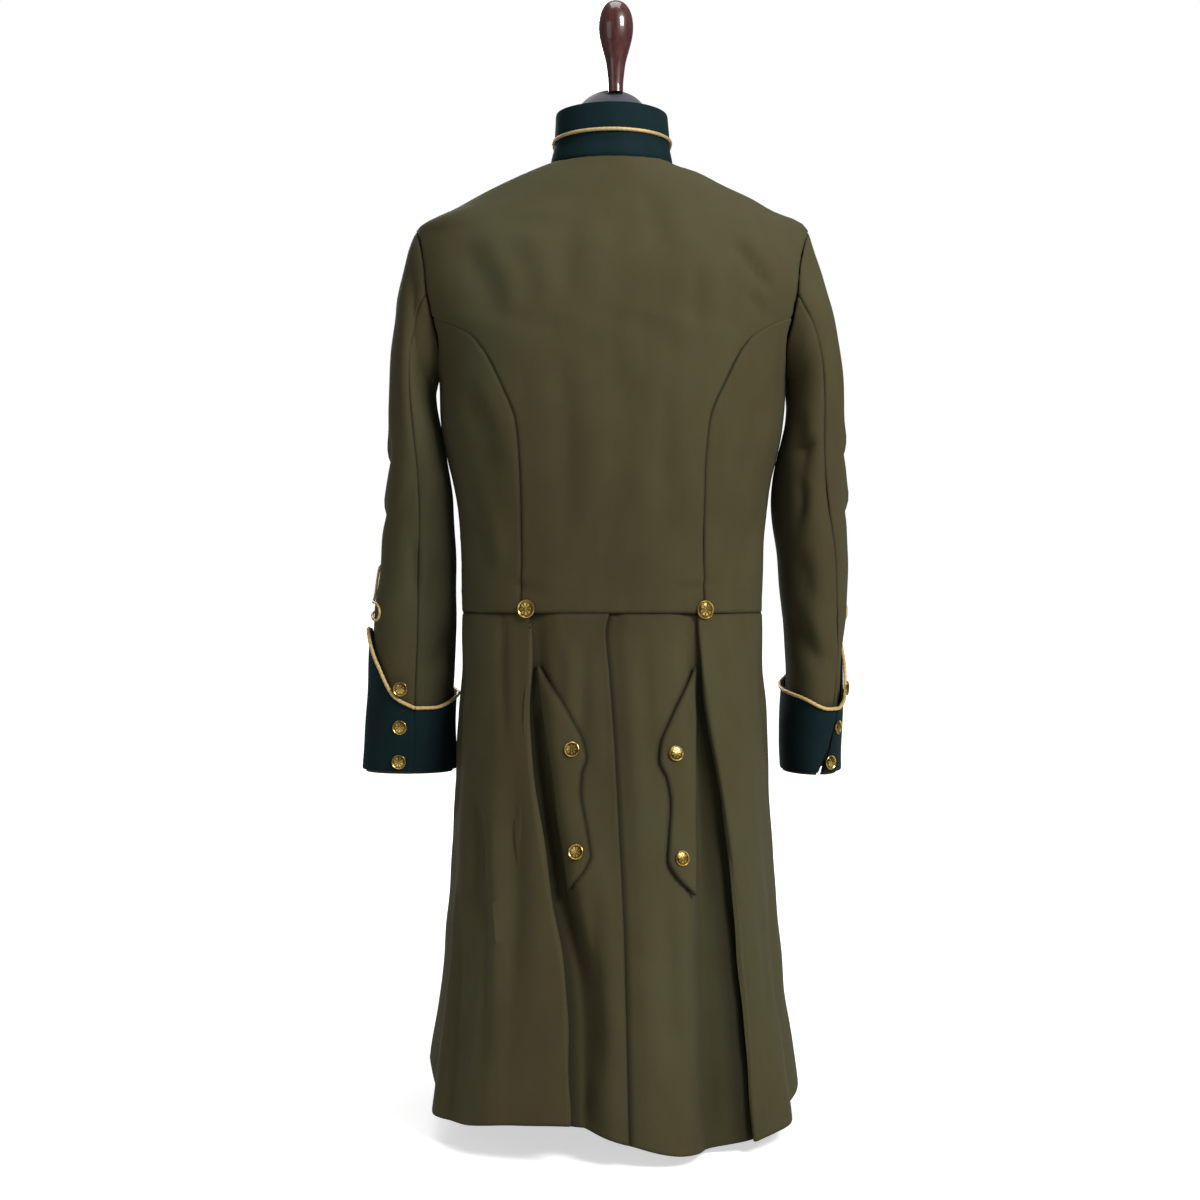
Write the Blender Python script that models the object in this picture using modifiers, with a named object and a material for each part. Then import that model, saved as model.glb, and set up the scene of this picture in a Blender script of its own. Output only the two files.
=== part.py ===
"""Frock coat filled out on a limbless dress form.

Frame: +X is the wearer's right, +Y the wearer's front and +Z up. The origin is on the underside
of the stand's base, plumb under the shoulder line. Every size is in metres.

Angles go round the body in degrees: 0 is the centre back, 90 the wearer's right side, -90 the
left side and 180 the centre front. A surface point is on the cloth's inner face, and a lift moves
it out along the surface's normal. Cloth gets its thickness outwards from that face.
"""

import math
from typing import NamedTuple

import bpy
from mathutils import Vector

# Cloth, seams and trims
CLOTH = 0.002
SEAM_GAP = 0.0004
CLEAR = 0.0003
CORD_RADIUS = 0.0016
PIPING_RADIUS = 0.0021

# Heights on the coat
WAIST = 0.564
ARMHOLE_BOTTOM = 0.830
SHOULDER = 1.000
NECK = 1.072

# Armhole: an ellipse seen from the side
ARMHOLE_CENTRE = (ARMHOLE_BOTTOM + SHOULDER) / 2
ARMHOLE_RISE = (SHOULDER - ARMHOLE_BOTTOM) / 2
ARMHOLE_REACH = 0.060
ARMHOLE_STEPS = 10
ARMPIT_LIFT = 0.0045

# Seams and laps
SEAM_SHIFT = 0.0035
SEAM_TIP = 0.0015
NECK_DROP = 0.028
FRONT_LAP = 0.018
LAP_DEPTH = CLOTH + 0.001
LAP_ANGLES = (16.0, 26.0)
BACK_COLUMNS = 12
SIDE_BACK_COLUMNS = 4
FRONT_COLUMNS = 5
SKIRT_COLUMNS = 12
BACK_SKIRT_COLUMNS = 16
FLAP_COLUMNS = 4
VENT_LAP = 0.022
PLEAT_UNDERLAY = 0.030

COLLAR_HEIGHT = 0.062
COLLAR_INSET = CLOTH + SEAM_GAP
COLLAR_PIPING = 0.5
COLLAR_OPENING = 1.2
COLLAR_COLUMNS = 24
COLLAR_ROWS = 4
CUFF_BOTTOM = 0.385
CUFF_LIFT = CLOTH + 0.0024
CUFF_TOP_AT_SPLIT = 0.457

# Turned pieces
BUTTON_RADIUS = 0.010
SMALL_BUTTON_RADIUS = 0.008
BUTTON_LIFT = CLOTH + 0.0008

# Dress form and stand
FORM_BOTTOM = 0.400
NECK_TOP = 1.122
CAP_CENTRE = (0.0, 0.010)
KNOB_AXIS = (0.004, -0.020)
KNOB_FOOT = 1.146
STEM_RADIUS = 0.0085
STAND_AXIS = (0.0, 0.020)
POLE_RADIUS = 0.015
BASE_RADIUS = 0.120
BASE_THICKNESS = 0.012


class Ring(NamedTuple):
    """A level section of the coat or of the form."""
    height: float
    half_width: float
    back: float
    front: float
    roundness: float


COAT_RINGS = (
    Ring(0.010, 0.209, 0.240, 0.166, 2.50),
    Ring(0.051, 0.204, 0.231, 0.162, 2.50),
    Ring(0.145, 0.191, 0.210, 0.154, 2.45),
    Ring(0.257, 0.183, 0.182, 0.142, 2.40),
    Ring(0.389, 0.175, 0.149, 0.125, 2.35),
    Ring(0.439, 0.173, 0.137, 0.118, 2.30),
    Ring(0.506, 0.170, 0.122, 0.108, 2.25),
    Ring(0.564, 0.170, 0.111, 0.100, 2.20),
    Ring(0.640, 0.1715, 0.114, 0.104, 2.25),
    Ring(0.710, 0.180, 0.121, 0.111, 2.30),
    Ring(0.774, 0.1925, 0.127, 0.118, 2.35),
    Ring(0.830, 0.1965, 0.130, 0.121, 2.40),
    Ring(0.860, 0.2005, 0.130, 0.121, 2.40),
    Ring(0.895, 0.2155, 0.127, 0.118, 2.35),
    Ring(0.930, 0.2265, 0.121, 0.111, 2.30),
    Ring(0.965, 0.2285, 0.110, 0.099, 2.25),
    Ring(1.000, 0.2225, 0.0935, 0.083, 2.20),
    Ring(1.0245, 0.177, 0.083, 0.072, 2.15),
    Ring(1.048, 0.131, 0.076, 0.067, 2.10),
    Ring(1.0625, 0.098, 0.071, 0.065, 2.05),
    Ring(1.072, 0.0710, 0.0690, 0.0690, 2.00),
)

FORM_RINGS = (
    Ring(0.400, 0.146, 0.094, 0.082, 2.10),
    Ring(0.412, 0.154, 0.099, 0.087, 2.10),
    Ring(0.450, 0.157, 0.100, 0.090, 2.15),
    Ring(0.564, 0.156, 0.096, 0.086, 2.20),
    Ring(0.640, 0.159, 0.100, 0.091, 2.25),
    Ring(0.710, 0.169, 0.111, 0.102, 2.30),
    Ring(0.774, 0.180, 0.118, 0.110, 2.35),
    Ring(0.830, 0.185, 0.121, 0.112, 2.35),
    Ring(0.895, 0.188, 0.118, 0.109, 2.30),
    Ring(0.950, 0.187, 0.107, 0.097, 2.25),
    Ring(0.985, 0.178, 0.092, 0.082, 2.20),
    Ring(1.006, 0.160, 0.081, 0.071, 2.15),
    Ring(1.028, 0.124, 0.073, 0.063, 2.10),
    Ring(1.046, 0.092, 0.066, 0.058, 2.05),
    Ring(1.060, 0.066, 0.060, 0.056, 2.00),
    Ring(1.076, 0.056, 0.052, 0.056, 2.00),
    Ring(1.122, 0.050, 0.040, 0.060, 2.00),
)


class Place(NamedTuple):
    """Where a line of the coat lies across the back, at one height."""
    height: float
    left: float
    right: float


SIDE_BACK_SEAM = (
    Place(0.564, -0.0970, 0.0970),
    Place(0.640, -0.0960, 0.0960),
    Place(0.710, -0.0965, 0.0965),
    Place(0.769, -0.1010, 0.1010),
    Place(0.819, -0.1200, 0.1200),
    Place(0.864, -0.1460, 0.1460),
    Place(0.882, -0.1720, 0.1720),
    Place(0.900, -0.2100, 0.2100),
)

PLEAT_EDGE = (
    Place(0.010, -0.046, 0.149),
    Place(0.050, -0.047, 0.146),
    Place(0.170, -0.052, 0.138),
    Place(0.247, -0.066, 0.132),
    Place(0.335, -0.080, 0.124),
    Place(0.400, -0.089, 0.1145),
    Place(0.449, -0.092, 0.106),
    Place(0.515, -0.090, 0.098),
    Place(0.564, -0.090, 0.0945),
)


class Vent(NamedTuple):
    """The left back skirt's edge at the centre vent."""
    height: float
    place: float


VENT_EDGE = (
    Vent(0.010, 0.0155),
    Vent(0.155, 0.0123),
    Vent(0.237, 0.0103),
    Vent(0.326, 0.0063),
    Vent(0.423, 0.0011),
    Vent(0.497, -0.0043),
    Vent(0.543, -0.0080),
    Vent(0.564, -0.0045),
)


class HemPoint(NamedTuple):
    """Height of the hem, by the angle round the body."""
    angle: float
    height: float


HEM_LINE = (
    HemPoint(-180, 0.040),
    HemPoint(-120, 0.046),
    HemPoint(-90, 0.049),
    HemPoint(-62, 0.026),
    HemPoint(-45, 0.028),
    HemPoint(-25, 0.040),
    HemPoint(-12, 0.043),
    HemPoint(2, 0.027),
    HemPoint(18, 0.013),
    HemPoint(30, 0.014),
    HemPoint(50, 0.018),
    HemPoint(90, 0.032),
    HemPoint(130, 0.042),
    HemPoint(180, 0.040),
)


class Valley(NamedTuple):
    """The hollow beside a pleat's edge: how far it falls back and how far in it lies."""
    height: float
    left_depth: float
    right_depth: float
    left_inset: float
    right_inset: float


VALLEYS = (
    Valley(0.010, 0.014, 0.030, 0.020, 0.034),
    Valley(0.145, 0.013, 0.026, 0.018, 0.030),
    Valley(0.250, 0.011, 0.022, 0.014, 0.026),
    Valley(0.330, 0.010, 0.018, 0.013, 0.020),
    Valley(0.420, 0.006, 0.010, 0.011, 0.014),
    Valley(0.500, 0.002, 0.003, 0.008, 0.008),
    Valley(0.564, 0.000, 0.000, 0.006, 0.006),
)


class Fold(NamedTuple):
    """A soft fold that deepens from the waist to the hem; a negative depth is a trough."""
    waist_angle: float
    hem_angle: float
    depth: float
    spread: float


SIDE_FOLDS = (
    Fold(-52.0, -35.0, 0.007, 6.0),
    Fold(-60.0, -44.0, -0.006, 6.0),
    Fold(-68.0, -53.0, 0.007, 6.5),
    Fold(-82.0, -71.0, -0.009, 9.0),
    Fold(-96.0, -93.0, 0.004, 9.0),
    Fold(-114.0, -116.0, -0.010, 10.0),
    Fold(-140.0, -143.0, 0.006, 11.0),
    Fold(58.0, 52.0, 0.006, 6.5),
    Fold(68.0, 66.0, -0.009, 8.0),
    Fold(84.0, 86.0, 0.003, 8.0),
    Fold(104.0, 108.0, -0.010, 11.0),
    Fold(132.0, 137.0, 0.007, 11.0),
)


class SleeveRing(NamedTuple):
    """A section of a sleeve, between a point on its outer line and one on its inner line."""
    station: float
    outer: float
    outer_height: float
    inner: float
    inner_height: float
    centre: float
    half_depth: float
    seam: float
    slit: float


RIGHT_SLEEVE = (
    SleeveRing(0, 0.2228, 1.0000, 0.1990, 0.8345, 0.000, 0.0600, 86, 0.0002),
    SleeveRing(1, 0.2290, 0.9770, 0.2012, 0.8300, 0.000, 0.0605, 85, 0.0002),
    SleeveRing(2, 0.2410, 0.9440, 0.2020, 0.8240, 0.000, 0.0620, 84, 0.0002),
    SleeveRing(3, 0.2525, 0.9050, 0.2025, 0.8140, 0.001, 0.0630, 84, 0.0002),
    SleeveRing(4, 0.2600, 0.8650, 0.2027, 0.8010, 0.001, 0.0640, 83, 0.0002),
    SleeveRing(5, 0.2635, 0.8200, 0.2005, 0.7830, 0.000, 0.0640, 82, 0.0002),
    SleeveRing(6, 0.2645, 0.7700, 0.1945, 0.7560, -0.002, 0.0630, 80, 0.0002),
    SleeveRing(7, 0.2672, 0.6960, 0.1848, 0.6930, -0.002, 0.0610, 71, 0.0002),
    SleeveRing(8, 0.2692, 0.6245, 0.1925, 0.6245, 0.002, 0.0590, 61, 0.0002),
    SleeveRing(9, 0.2667, 0.5700, 0.1980, 0.5700, 0.006, 0.0580, 54, 0.0002),
    SleeveRing(10, 0.2635, 0.5300, 0.2010, 0.5300, 0.009, 0.0580, 48, 0.0002),
    SleeveRing(11, 0.2608, 0.4780, 0.2025, 0.4780, 0.012, 0.0580, 45, 0.0005),
    SleeveRing(12, 0.2585, 0.4300, 0.2002, 0.4300, 0.014, 0.0560, 58, 0.0020),
    SleeveRing(13, 0.2585, 0.3820, 0.2000, 0.3820, 0.016, 0.0550, 84, 0.0055),
)

LEFT_SLEEVE = (
    SleeveRing(0, 0.2228, 1.0000, 0.1990, 0.8345, 0.000, 0.0600, 86, 0.0002),
    SleeveRing(1, 0.2318, 0.9770, 0.2014, 0.8300, 0.000, 0.0605, 87, 0.0002),
    SleeveRing(2, 0.2395, 0.9440, 0.2030, 0.8240, 0.000, 0.0620, 88, 0.0002),
    SleeveRing(3, 0.2465, 0.9050, 0.2050, 0.8140, 0.001, 0.0630, 90, 0.0002),
    SleeveRing(4, 0.2510, 0.8650, 0.2040, 0.8010, 0.001, 0.0640, 92, 0.0002),
    SleeveRing(5, 0.2533, 0.8200, 0.2010, 0.7830, 0.000, 0.0640, 94, 0.0002),
    SleeveRing(6, 0.2540, 0.7700, 0.1950, 0.7560, -0.002, 0.0630, 96, 0.0002),
    SleeveRing(7, 0.2575, 0.6960, 0.1840, 0.6930, -0.002, 0.0600, 98, 0.0002),
    SleeveRing(8, 0.2630, 0.6245, 0.1820, 0.6245, 0.002, 0.0550, 99, 0.0002),
    SleeveRing(9, 0.2715, 0.5660, 0.1815, 0.5660, 0.006, 0.0500, 100, 0.0002),
    SleeveRing(10, 0.2735, 0.5300, 0.1822, 0.5300, 0.008, 0.0470, 100, 0.0002),
    SleeveRing(11, 0.2760, 0.4780, 0.1850, 0.4780, 0.010, 0.0440, 100, 0.0002),
    SleeveRing(12, 0.2790, 0.4300, 0.1858, 0.4300, 0.011, 0.0430, 100, 0.0002),
    SleeveRing(13, 0.2815, 0.3820, 0.1858, 0.3820, 0.012, 0.0420, 100, 0.0002),
)

SLEEVES = {"right": RIGHT_SLEEVE, "left": LEFT_SLEEVE}
SIDES = {"right": 1, "left": -1}
SLEEVE_FRONT_SEAM = 265.0
SLEEVE_COLUMNS = 10
SLEEVE_SEAM_GAP = 0.25
CUFF_COLUMNS = 24
CUFF_ROWS = 4
LEVEL_FROM = 8


class CuffEdge(NamedTuple):
    """Height of a cuff's pointed top edge, by the turn from its split towards the outside."""
    turn: float
    height: float


CUFF_EDGE = (
    CuffEdge(0, 0.457),
    CuffEdge(25, 0.469),
    CuffEdge(55, 0.5075),
    CuffEdge(97, 0.546),
    CuffEdge(139, 0.5075),
    CuffEdge(180, 0.487),
    CuffEdge(223, 0.479),
    CuffEdge(290, 0.469),
    CuffEdge(338, 0.457),
    CuffEdge(360, 0.457),
)
KNOT_TURN = 104.0
KNOT_HEIGHT = 0.572
KNOT_REACH = 0.044
KNOT_HALF_WIDTH = 0.0075
KNOT_HEART = 0.009


class FlapSection(NamedTuple):
    """Width of a pocket flap, from its long edge to its scalloped edge, going down it."""
    down: float
    width: float


FLAP_OUTLINE = (
    FlapSection(0.004, 0.003),
    FlapSection(0.030, 0.0165),
    FlapSection(0.060, 0.0305),
    FlapSection(0.085, 0.0395),
    FlapSection(0.100, 0.0405),
    FlapSection(0.120, 0.0325),
    FlapSection(0.147, 0.0282),
    FlapSection(0.180, 0.0295),
    FlapSection(0.203, 0.0300),
    FlapSection(0.218, 0.0225),
    FlapSection(0.236, 0.0030),
)
FLAP_LENGTH = 0.240
FLAP_LIFT = CLOTH + 0.0036


class FlapLine(NamedTuple):
    """The long edge of a pocket flap, from its top to its lower tip."""
    top: float
    top_height: float
    tip: float
    tip_height: float


FLAP_LINES = {
    "left": FlapLine(-0.0845, 0.510, -0.0485, 0.274),
    "right": FlapLine(0.0925, 0.507, 0.0865, 0.267),
}
FLAP_BUTTONS = {"left": ((-0.0430, 0.4175), (-0.0370, 0.3125)),
                "right": ((0.0648, 0.4130), (0.0690, 0.3050))}

HIP_BUTTONS = {"left": (-0.0932, 0.5690), "right": (0.1003, 0.5680)}
CUFF_BUTTON_HEIGHTS = (0.479, 0.4350, 0.3960)
CUFF_BUTTON_TURN = {"left": 18.0, "right": 10.0}
FRONT_BUTTON_COUNT = 8
FRONT_BUTTON_LOW = 0.590
FRONT_BUTTON_HIGH = 1.020

BUTTON_PROFILE = ((0.0, 0.36), (0.60, 0.31), (0.93, 0.17), (1.0, 0.06), (0.95, 0.0), (0.0, 0.0))
KNOB_PROFILE = ((0.0, 1.2605), (0.0065, 1.2590), (0.0130, 1.2540), (0.0185, 1.2430),
                (0.0200, 1.2310), (0.0188, 1.2180), (0.0155, 1.2050), (0.0115, 1.1900),
                (0.0098, 1.1780), (STEM_RADIUS, 1.1660), (STEM_RADIUS, KNOB_FOOT), (0.0, KNOB_FOOT))
CAP_PROFILE = ((0.0, 1.1650), (0.016, 1.1640), (0.030, 1.1560), (0.041, 1.1430),
               (0.046, 1.1300), (0.0465, NECK_TOP + CLEAR), (0.0, NECK_TOP + CLEAR))

LOWER_ROWS = (0.600, 0.660, 0.720, 0.780)
SHOULDER_ROWS = (1.012, 1.028, 1.044, 1.058, NECK)
SKIRT_ROWS = (0.0, 0.04, 0.09, 0.15, 0.22, 0.30, 0.39, 0.48, 0.60, 0.73, 0.87, 1.0)

COLOURS = {
    "suiting": ((0.115, 0.095, 0.052, 1.0), 0.85, 0.0),
    "facing_cloth": ((0.012, 0.045, 0.048, 1.0), 0.80, 0.0),
    "gold_cord": ((0.72, 0.48, 0.15, 1.0), 0.50, 0.3),
    "brass_button": ((0.78, 0.55, 0.16, 1.0), 0.25, 1.0),
    "form_cover": ((0.62, 0.58, 0.50, 1.0), 0.85, 0.0),
    "cap_cover": ((0.14, 0.14, 0.20, 1.0), 0.70, 0.0),
    "lacquered_wood": ((0.11, 0.03, 0.025, 1.0), 0.20, 0.0),
    "stand_metal": ((0.10, 0.10, 0.11, 1.0), 0.45, 0.9),
}


# Tables and rings

def read(table, column, key):
    """Give a column's value at a key, on a smooth curve that never overshoots its rows."""
    keys = [row[0] for row in table]
    values = [getattr(row, column) for row in table]
    key = min(max(key, keys[0]), keys[-1])
    index = max(i for i in range(len(keys) - 1) if keys[i] <= key)
    rises = [(values[i + 1] - values[i]) / (keys[i + 1] - keys[i]) for i in range(len(keys) - 1)]

    def slope(at):
        if at in (0, len(rises)):
            return rises[min(at, len(rises) - 1)]
        before, after = rises[at - 1], rises[at]
        return 2 * before * after / (before + after) if before * after > 0 else 0.0

    step = keys[index + 1] - keys[index]
    part = (key - keys[index]) / step
    start, end = slope(index) * step, slope(index + 1) * step
    change = values[index + 1] - values[index]
    curve = (start + end - 2 * change) * part ** 3 + (3 * change - 2 * start - end) * part ** 2
    return values[index] + start * part + curve


def ease(low, high, value):
    """Rise smoothly from 0 at low to 1 at high."""
    part = min(max((value - low) / (high - low), 0.0), 1.0)
    return part * part * (3 - 2 * part)


def ring_at(table, height):
    """Read a whole section from a table of rings."""
    return Ring(height, *(read(table, column, height) for column in Ring._fields[1:]))


def ring_point(ring, angle):
    """Give x and y on a section, whose outline is a rounded oval."""
    across, along = math.sin(math.radians(angle)), math.cos(math.radians(angle))
    depth = ring.back if along > 0 else ring.front
    bulk = abs(across / ring.half_width) ** ring.roundness + abs(along / depth) ** ring.roundness
    reach = bulk ** (-1 / ring.roundness)
    return reach * across, -reach * along


def front_drop(angle, height, top=NECK):
    """How far the neck falls below its height at the back, towards the centre front."""
    rise = ease(SHOULDER, NECK, height)
    settle = 1.0 if top == NECK else 1.0 - ease(NECK, top, height)
    turn = abs(math.remainder(angle, 360.0))
    return NECK_DROP * rise * settle * ease(80.0, 175.0, turn)


def normal_at(surface, across, along, step_across, step_along):
    """Give the outward normal of a surface of two parameters."""
    over = surface(across + step_across, along) - surface(across - step_across, along)
    up = surface(across, along + step_along) - surface(across, along - step_along)
    return over.cross(up).normalized()


def coat_point(angle, height, lift=0.0):
    """Give a point of the coat's body or skirt."""
    x, y = ring_point(ring_at(COAT_RINGS, height), angle)
    point = Vector((x, y, height - front_drop(angle, height)))
    if lift:
        point += lift * normal_at(coat_point, angle, height, 1.0, 0.002)
    return point


def solve(function, low, high, target):
    """Find where a rising or falling function meets a target."""
    rising = function(high) > function(low)
    for _ in range(26):
        middle = (low + high) / 2
        if (function(middle) < target) == rising:
            low = middle
        else:
            high = middle
    return (low + high) / 2


def angle_at(place, height):
    """Turn a place across the back into an angle."""
    ring = ring_at(COAT_RINGS, height)
    turn = solve(lambda angle: ring_point(ring, angle)[0], 0.0, 90.0, abs(place))
    return math.copysign(turn, place)


def step_along(angle, height, distance):
    """Move an angle by a distance along the ring."""
    ring = ring_at(COAT_RINGS, height)
    before, after = ring_point(ring, angle - 0.5), ring_point(ring, angle + 0.5)
    return angle + distance / math.dist(before, after)


# Body seams

def armhole_angle(height, front):
    """Angle of the armhole's edge on the right side, at the back or at the front."""
    level = min(max((height - ARMHOLE_CENTRE) / ARMHOLE_RISE, -1.0), 1.0)
    reach = ARMHOLE_REACH * math.sqrt(1 - level * level)
    ring = ring_at(COAT_RINGS, height)
    if front:
        return solve(lambda angle: ring_point(ring, angle)[1], 90.0, 180.0, reach)
    return solve(lambda angle: ring_point(ring, angle)[1], 0.0, 90.0, -reach)


def armhole_rows(first, last):
    """Heights of the armhole's corners, where 0 is its bottom and ARMHOLE_STEPS its top."""
    return [ARMHOLE_CENTRE - ARMHOLE_RISE * math.cos(math.pi * step / ARMHOLE_STEPS)
            for step in range(first, last + 1)]


SEAM_JOIN_STEP = 4
SEAM_JOIN = armhole_rows(SEAM_JOIN_STEP, SEAM_JOIN_STEP)[0]


def side_back_angle(side, height):
    """Angle of the curved seam that runs from the armhole down to the hip button."""
    place = read(SIDE_BACK_SEAM, side, height) + SEAM_SHIFT
    turn = abs(angle_at(place, height))
    if height > ARMHOLE_BOTTOM:
        turn = min(turn, step_along(armhole_angle(height, False), height, -SEAM_TIP))
    return SIDES[side] * turn


def outer_angle(height, front):
    """Angle, on the right, of the side seam, the armhole or the shoulder seam."""
    if ARMHOLE_BOTTOM < height < SHOULDER:
        return armhole_angle(height, front)
    return 90.0


def back_edge(side, height):
    """Angle of the back panel's edge."""
    if height <= SEAM_JOIN:
        return side_back_angle(side, height)
    return SIDES[side] * outer_angle(height, False)


# Meshes

def cloth(name, rows, material):
    """Make a walled piece of cloth from rows of points whose faces look outwards."""
    mesh = bpy.data.meshes.new(name)
    width = len(rows[0])
    points = [point for row in rows for point in row]
    faces = []
    for row in range(len(rows) - 1):
        for column in range(width - 1):
            corner = row * width + column
            faces.append((corner, corner + 1, corner + width + 1, corner + width))
    mesh.from_pydata(points, [], faces)
    mesh.materials.append(material)
    piece = add_object(name, mesh)
    wall = piece.modifiers.new("wall", "SOLIDIFY")
    wall.thickness = CLOTH
    wall.offset = 1.0
    wall.use_even_offset = False
    return piece


def add_object(name, data):
    """Link a new object to the coat's collection."""
    piece = bpy.data.objects.new(name, data)
    bpy.data.collections["frock_coat_on_dress_form"].objects.link(piece)
    return piece


def add_cord(name, points, radius, material, cyclic=False):
    """Make a round cord through points."""
    curve = bpy.data.curves.new(name, "CURVE")
    curve.dimensions = "3D"
    curve.bevel_depth = radius
    curve.bevel_resolution = 2
    curve.use_fill_caps = True
    spline = curve.splines.new("POLY")
    spline.points.add(len(points) - 1)
    for slot, point in zip(spline.points, points):
        slot.co = (*point, 1.0)
    spline.use_cyclic_u = cyclic
    curve.materials.append(material)
    return add_object(name, curve)


def add_turned(name, profile, steps, material):
    """Turn a profile, which runs down its outer side, round the local Z axis."""
    mesh = bpy.data.meshes.new(name)
    points = [(radius, 0.0, height) for radius, height in profile]
    mesh.from_pydata(points, [(i, i + 1) for i in range(len(points) - 1)], [])
    mesh.materials.append(material)
    piece = add_object(name, mesh)
    screw = piece.modifiers.new("turn", "SCREW")
    screw.steps = steps
    screw.render_steps = steps
    screw.use_merge_vertices = True
    screw.merge_threshold = 0.0001
    screw.use_smooth_shade = True
    return piece


def add_button(name, point, normal, radius, material):
    """Put a domed button on a point, facing along a normal."""
    profile = [(share * radius, height * radius) for share, height in BUTTON_PROFILE]
    piece = add_turned(name, profile, 10, material)
    piece.location = point
    piece.rotation_mode = "QUATERNION"
    piece.rotation_quaternion = normal.to_track_quat("Z", "Y")
    return piece


def between(start, end, count):
    """Give count + 1 evenly spaced values."""
    return [start + (end - start) * step / count for step in range(count + 1)]


def panel_rows(heights, start_edge, end_edge, columns, lift=None):
    """Give rows of points between two edges, each an angle by height."""
    rows = []
    for height in heights:
        start = step_along(start_edge(height), height, SEAM_GAP / 2)
        end = step_along(end_edge(height), height, -SEAM_GAP / 2)
        angles = between(start, end, columns)
        rows.append([coat_point(a, height, lift(a) if lift else 0.0) for a in angles])
    return rows


# Body

def build_back(finish):
    """The back: one piece from the collar seam down to the waist seam."""
    heights = [WAIST + SEAM_GAP / 2, *LOWER_ROWS, *armhole_rows(0, ARMHOLE_STEPS), *SHOULDER_ROWS]
    edges = [lambda h: back_edge("left", h), lambda h: back_edge("right", h)]
    rows = panel_rows(heights, *edges, BACK_COLUMNS)
    cloth("back", rows, finish["suiting"])


def build_side_back(side, finish):
    """A side back: from the curved seam round to the side seam and up to the armhole."""
    heights = [WAIST + SEAM_GAP / 2, *LOWER_ROWS, *armhole_rows(0, SEAM_JOIN_STEP)]
    edges = [lambda h: side_back_angle(side, h), lambda h: SIDES[side] * outer_angle(h, False)]
    if side == "left":
        edges.reverse()
    rows = panel_rows(heights, *edges, SIDE_BACK_COLUMNS)
    cloth(f"side_back_{side}", rows, finish["suiting"])


def front_lift(side, angle):
    """The left front is lifted near the centre, where it lies over the right one."""
    return LAP_DEPTH * (1 - ease(*LAP_ANGLES, angle + 180.0)) if side == "left" else 0.0


def front_angles(side, start, height, columns):
    """Angles of a front's columns from its start past the centre, with the lap's step kept."""
    turn = SIDES[side]
    inner, outer = LAP_ANGLES
    end = step_along(turn * 180.0, height, turn * (FRONT_LAP - SEAM_GAP / 2))
    return [*between(start, turn * (180.0 - outer), columns), turn * (180.0 - inner),
            turn * 180.0, end]


def build_front(side, finish):
    """A front: from the side seam past the centre, where the left laps over the right."""
    heights = [WAIST + SEAM_GAP / 2, *LOWER_ROWS, *armhole_rows(0, ARMHOLE_STEPS), *SHOULDER_ROWS]
    turn = SIDES[side]
    rows = []
    for height in heights:
        start = step_along(turn * outer_angle(height, True), height, turn * SEAM_GAP / 2)
        row = [coat_point(angle, height, front_lift(side, angle))
               for angle in front_angles(side, start, height, FRONT_COLUMNS)]
        rows.append(row if side == "right" else row[::-1])
    cloth(f"front_{side}", rows, finish["suiting"])


# Skirt

def skirt_height(angle, fall):
    """Height of a skirt point; fall goes from 0 at the waist seam to 1 at the hem."""
    hem = read(HEM_LINE, "height", angle)
    return WAIST - SEAM_GAP / 2 - fall * (WAIST - SEAM_GAP / 2 - hem)


def pleat_gap(fall):
    """Space between the two layers of a pleat's fold."""
    return 0.0012 + 0.0028 * ease(0.0, 0.3, fall)


def fold_lift(angle, fall):
    """Lift of the side skirts' soft folds."""
    lift = 0.0
    for fold in SIDE_FOLDS:
        centre = fold.waist_angle + (fold.hem_angle - fold.waist_angle) * fall
        lift += fold.depth * math.exp(-((angle - centre) / fold.spread) ** 2)
    return lift * ease(0.05, 0.95, fall)


def skirt_point(angle, fall, lift=0.0):
    """Give a point of the skirt, by angle and fall."""
    return coat_point(angle, skirt_height(angle, fall), lift)


def build_skirt_front(side, finish):
    """The skirt's side and front: from the folded pleat edge round to the front edge."""
    turn = SIDES[side]
    rows = []
    for fall in SKIRT_ROWS:
        level = skirt_height(0.0, fall)
        pleat = angle_at(read(PLEAT_EDGE, side, level), level)
        gap = pleat_gap(fall)
        hook = ((PLEAT_UNDERLAY, -gap), (0.010, -gap), (0.0012, -0.85 * gap), (0.0, -0.5 * gap),
                (0.0012, -0.1 * gap))
        row = [skirt_point(step_along(pleat, level, turn * back), fall, lift) for back, lift in hook]
        start = step_along(pleat, level, turn * 0.005)
        for angle in front_angles(side, start, level, SKIRT_COLUMNS):
            folds = fold_lift(angle, fall) * ease(0.0, 12.0, abs(angle - pleat))
            row.append(skirt_point(angle, fall, folds + front_lift(side, angle)))
        rows.append(row)
    rows.reverse()
    if side == "left":
        rows = [row[::-1] for row in rows]
    cloth(f"skirt_front_{side}", rows, finish["suiting"])


def back_skirt_lift(side, place, fall):
    """Lift of the back skirt: under the pleat, into the valley beside it and over the vent."""
    level = skirt_height(0.0, fall)
    turn = SIDES[side]
    inside = turn * (read(PLEAT_EDGE, side, level) - place)
    under = -(pleat_gap(fall) + 2 * CLOTH + 0.0008) * (1 - ease(0.004, 0.034, inside))
    depth = read(VALLEYS, f"{side}_depth", level)
    inset = read(VALLEYS, f"{side}_inset", level)
    valley = -depth * math.exp(-((inside - inset) / (0.6 * inset + 0.006)) ** 2)
    vent = 0.0
    if side == "right":
        past = place - read(VENT_EDGE, "place", level)
        covering = back_skirt_lift("left", place, fall) - LAP_DEPTH
        vent = covering * (1 - ease(0.004, 0.024, past))
    return under + valley + vent


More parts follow.
